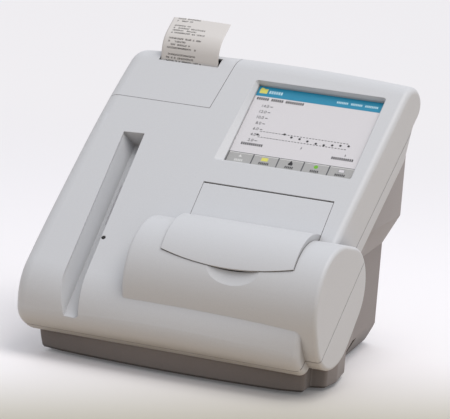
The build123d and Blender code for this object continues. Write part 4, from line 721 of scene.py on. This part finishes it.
for height in LIMITS:
    area(19.5, 21.3, height - HALF_DASH, height + HALF_DASH, PRINT, lit_ink, DASHES, DASH_STEP)
for across, down in RESULTS:
    spot(across * SCREEN_W, down * SCREEN_H, DOT_R, MARK, lit_ink)
area(63.2, 63.9, 62.4, 64.6, PRINT, lit_ink)
area(105.4, 106.1, 63.2, 65.4, PRINT, lit_ink)
word(7.2, 65.6, 2.9, 11, PRINT, lit_ink)
word(94.2, 67.2, 2.9, 11, PRINT, lit_ink)

# Five buttons in a row, each with a lit upper edge, a word and a plain sign.
BUTTONS = 5
BUTTON_TOP = 77.4
BUTTON_W = SCREEN_W / BUTTONS
BUTTON_GAP = 0.7
BUTTON_END = 0.5
BUTTON_FOOT = 0.8
WORD_TOP = 85.3
WORD_HEIGHT = 2.5
BUTTON_WORDS = ((5, lit_edge), (6, lit_ink), (5, lit_ink), (5, lit_ink), (6, lit_ink))
area(MARGIN, SCREEN_W - MARGIN, BUTTON_TOP, SCREEN_H - MARGIN, PRINT, lit_shadow)
area(BUTTON_GAP, BUTTON_W - BUTTON_END, BUTTON_TOP + BUTTON_GAP, SCREEN_H - BUTTON_FOOT, PRINT + OVER,
     lit_button, BUTTONS, BUTTON_W)
area(BUTTON_GAP, BUTTON_W - BUTTON_END, BUTTON_TOP + BUTTON_GAP, BUTTON_TOP + 2 * BUTTON_GAP, MARK,
     lit_edge, BUTTONS, BUTTON_W)
for order, (letters, ink) in enumerate(BUTTON_WORDS):
    middle = (order + 0.5) * BUTTON_W
    word(middle - letters * 0.8, WORD_TOP, WORD_HEIGHT, letters, MARK, ink)
spot(12.1, 81.8, 1.9, MARK, lit_edge, corners=3)
area(32.4, 38.8, 80.0, 83.8, MARK, lit_folder)
area(58.4, 62.4, 81.6, 84.0, MARK, lit_ink)
spot(60.4, 81.2, 2.6, MARK, lit_ink, corners=3)
spot(84.4, 81.6, 2.0, MARK, lit_green)
area(105.6, 111.6, 79.8, 84.0, MARK, lit_soft_ink)
area(106.2, 111.0, 80.4, 83.4, MARK + OVER, lit_ground)

# All areas are joined into one thin film on the display's glass.
deselect()
for patch in picture:
    patch.select_set(True)
bpy.context.view_layer.objects.active = picture[0]
bpy.ops.object.join()
screen = bpy.context.object
screen.name = "screen_picture"
film = screen.modifiers.new("film", "SOLIDIFY")
film.thickness = FILM * MM
film.offset = -1.0
bpy.ops.object.modifier_apply(modifier=film.name)
screen.data.transform(FACE @ Matrix.Translation(Vector((SCREEN_LEFT, SCREEN_H / 2, GLASS_TOP)) * MM))
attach(screen, "housing")


# The air filter is a pad of open-cell foam, cut from sheet with a hot wire, that lies in
# its drawer: soft edges, a slightly crowned top and a surface full of small open pores.
PORE = 1.6 * MM
PORE_DEPTH = 0.6 * MM
TOP_SHARE = 0.9
CROWN = 0.9
DENT = 0.12
CUTS = 11
DENT_SEED = 11
low_corner, high_corner = (Vector(corner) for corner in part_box("filter_foam"))
deselect()
bpy.ops.mesh.primitive_cube_add(size=1, location=(low_corner + high_corner) / 2)
pad = bpy.context.object
pad.name = "filter_pad"
pad.scale = high_corner - low_corner
bpy.ops.object.transform_apply(location=True, rotation=False, scale=True)
bpy.ops.object.mode_set(mode="EDIT")
bpy.ops.mesh.select_all(action="SELECT")
bpy.ops.mesh.subdivide(number_cuts=CUTS)
bpy.ops.object.mode_set(mode="OBJECT")
middle = (low_corner + high_corner) / 2
half = (high_corner - low_corner) / 2
dents = random.Random(DENT_SEED)
for vertex in pad.data.vertices:
    across = abs(vertex.co.x - middle.x) / half.x
    along = abs(vertex.co.y - middle.y) / half.y
    if vertex.co.z > middle.z + half.z * TOP_SHARE:
        vertex.co.z -= (CROWN * max(across, along) ** 6 + DENT * dents.random()) * MM
soften = pad.modifiers.new("soften", "SUBSURF")
soften.levels = 2
soften.render_levels = 2
bpy.ops.object.modifier_apply(modifier=soften.name)
bpy.ops.object.shade_smooth()

material, tree, shader = start_material("open_cell_foam", "#2a2b2e", 0.95)
place = add_node(tree, "ShaderNodeTexCoord")
pores = add_node(tree, "ShaderNodeTexVoronoi", values={"Scale": 1 / PORE},
                 links={"Vector": (place, "Object")}, feature="DISTANCE_TO_EDGE")
pore_shade_and_depth = add_node(tree, "ShaderNodeMapRange", values={"From Max": 0.18}, links={"Value": (pores, "Distance")})
# Painted shade: the insides of the pores are painted darker than the struts.
foam = add_node(tree, "ShaderNodeMix", data_type="RGBA",
                values={6: linear("#3c3d41"), 7: linear("#141416")}, links={0: (pore_shade_and_depth, 0)})
bump = add_node(tree, "ShaderNodeBump", values={"Strength": 0.9, "Distance": PORE_DEPTH},
                links={"Height": (pore_shade_and_depth, 0)}, invert=True)
tree.links.new(foam.outputs[2], shader.inputs["Base Color"])
tree.links.new(bump.outputs[0], shader.inputs["Normal"])
pad.data.materials.append(material)
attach(pad, "filter_drawer")
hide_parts("filter_foam")
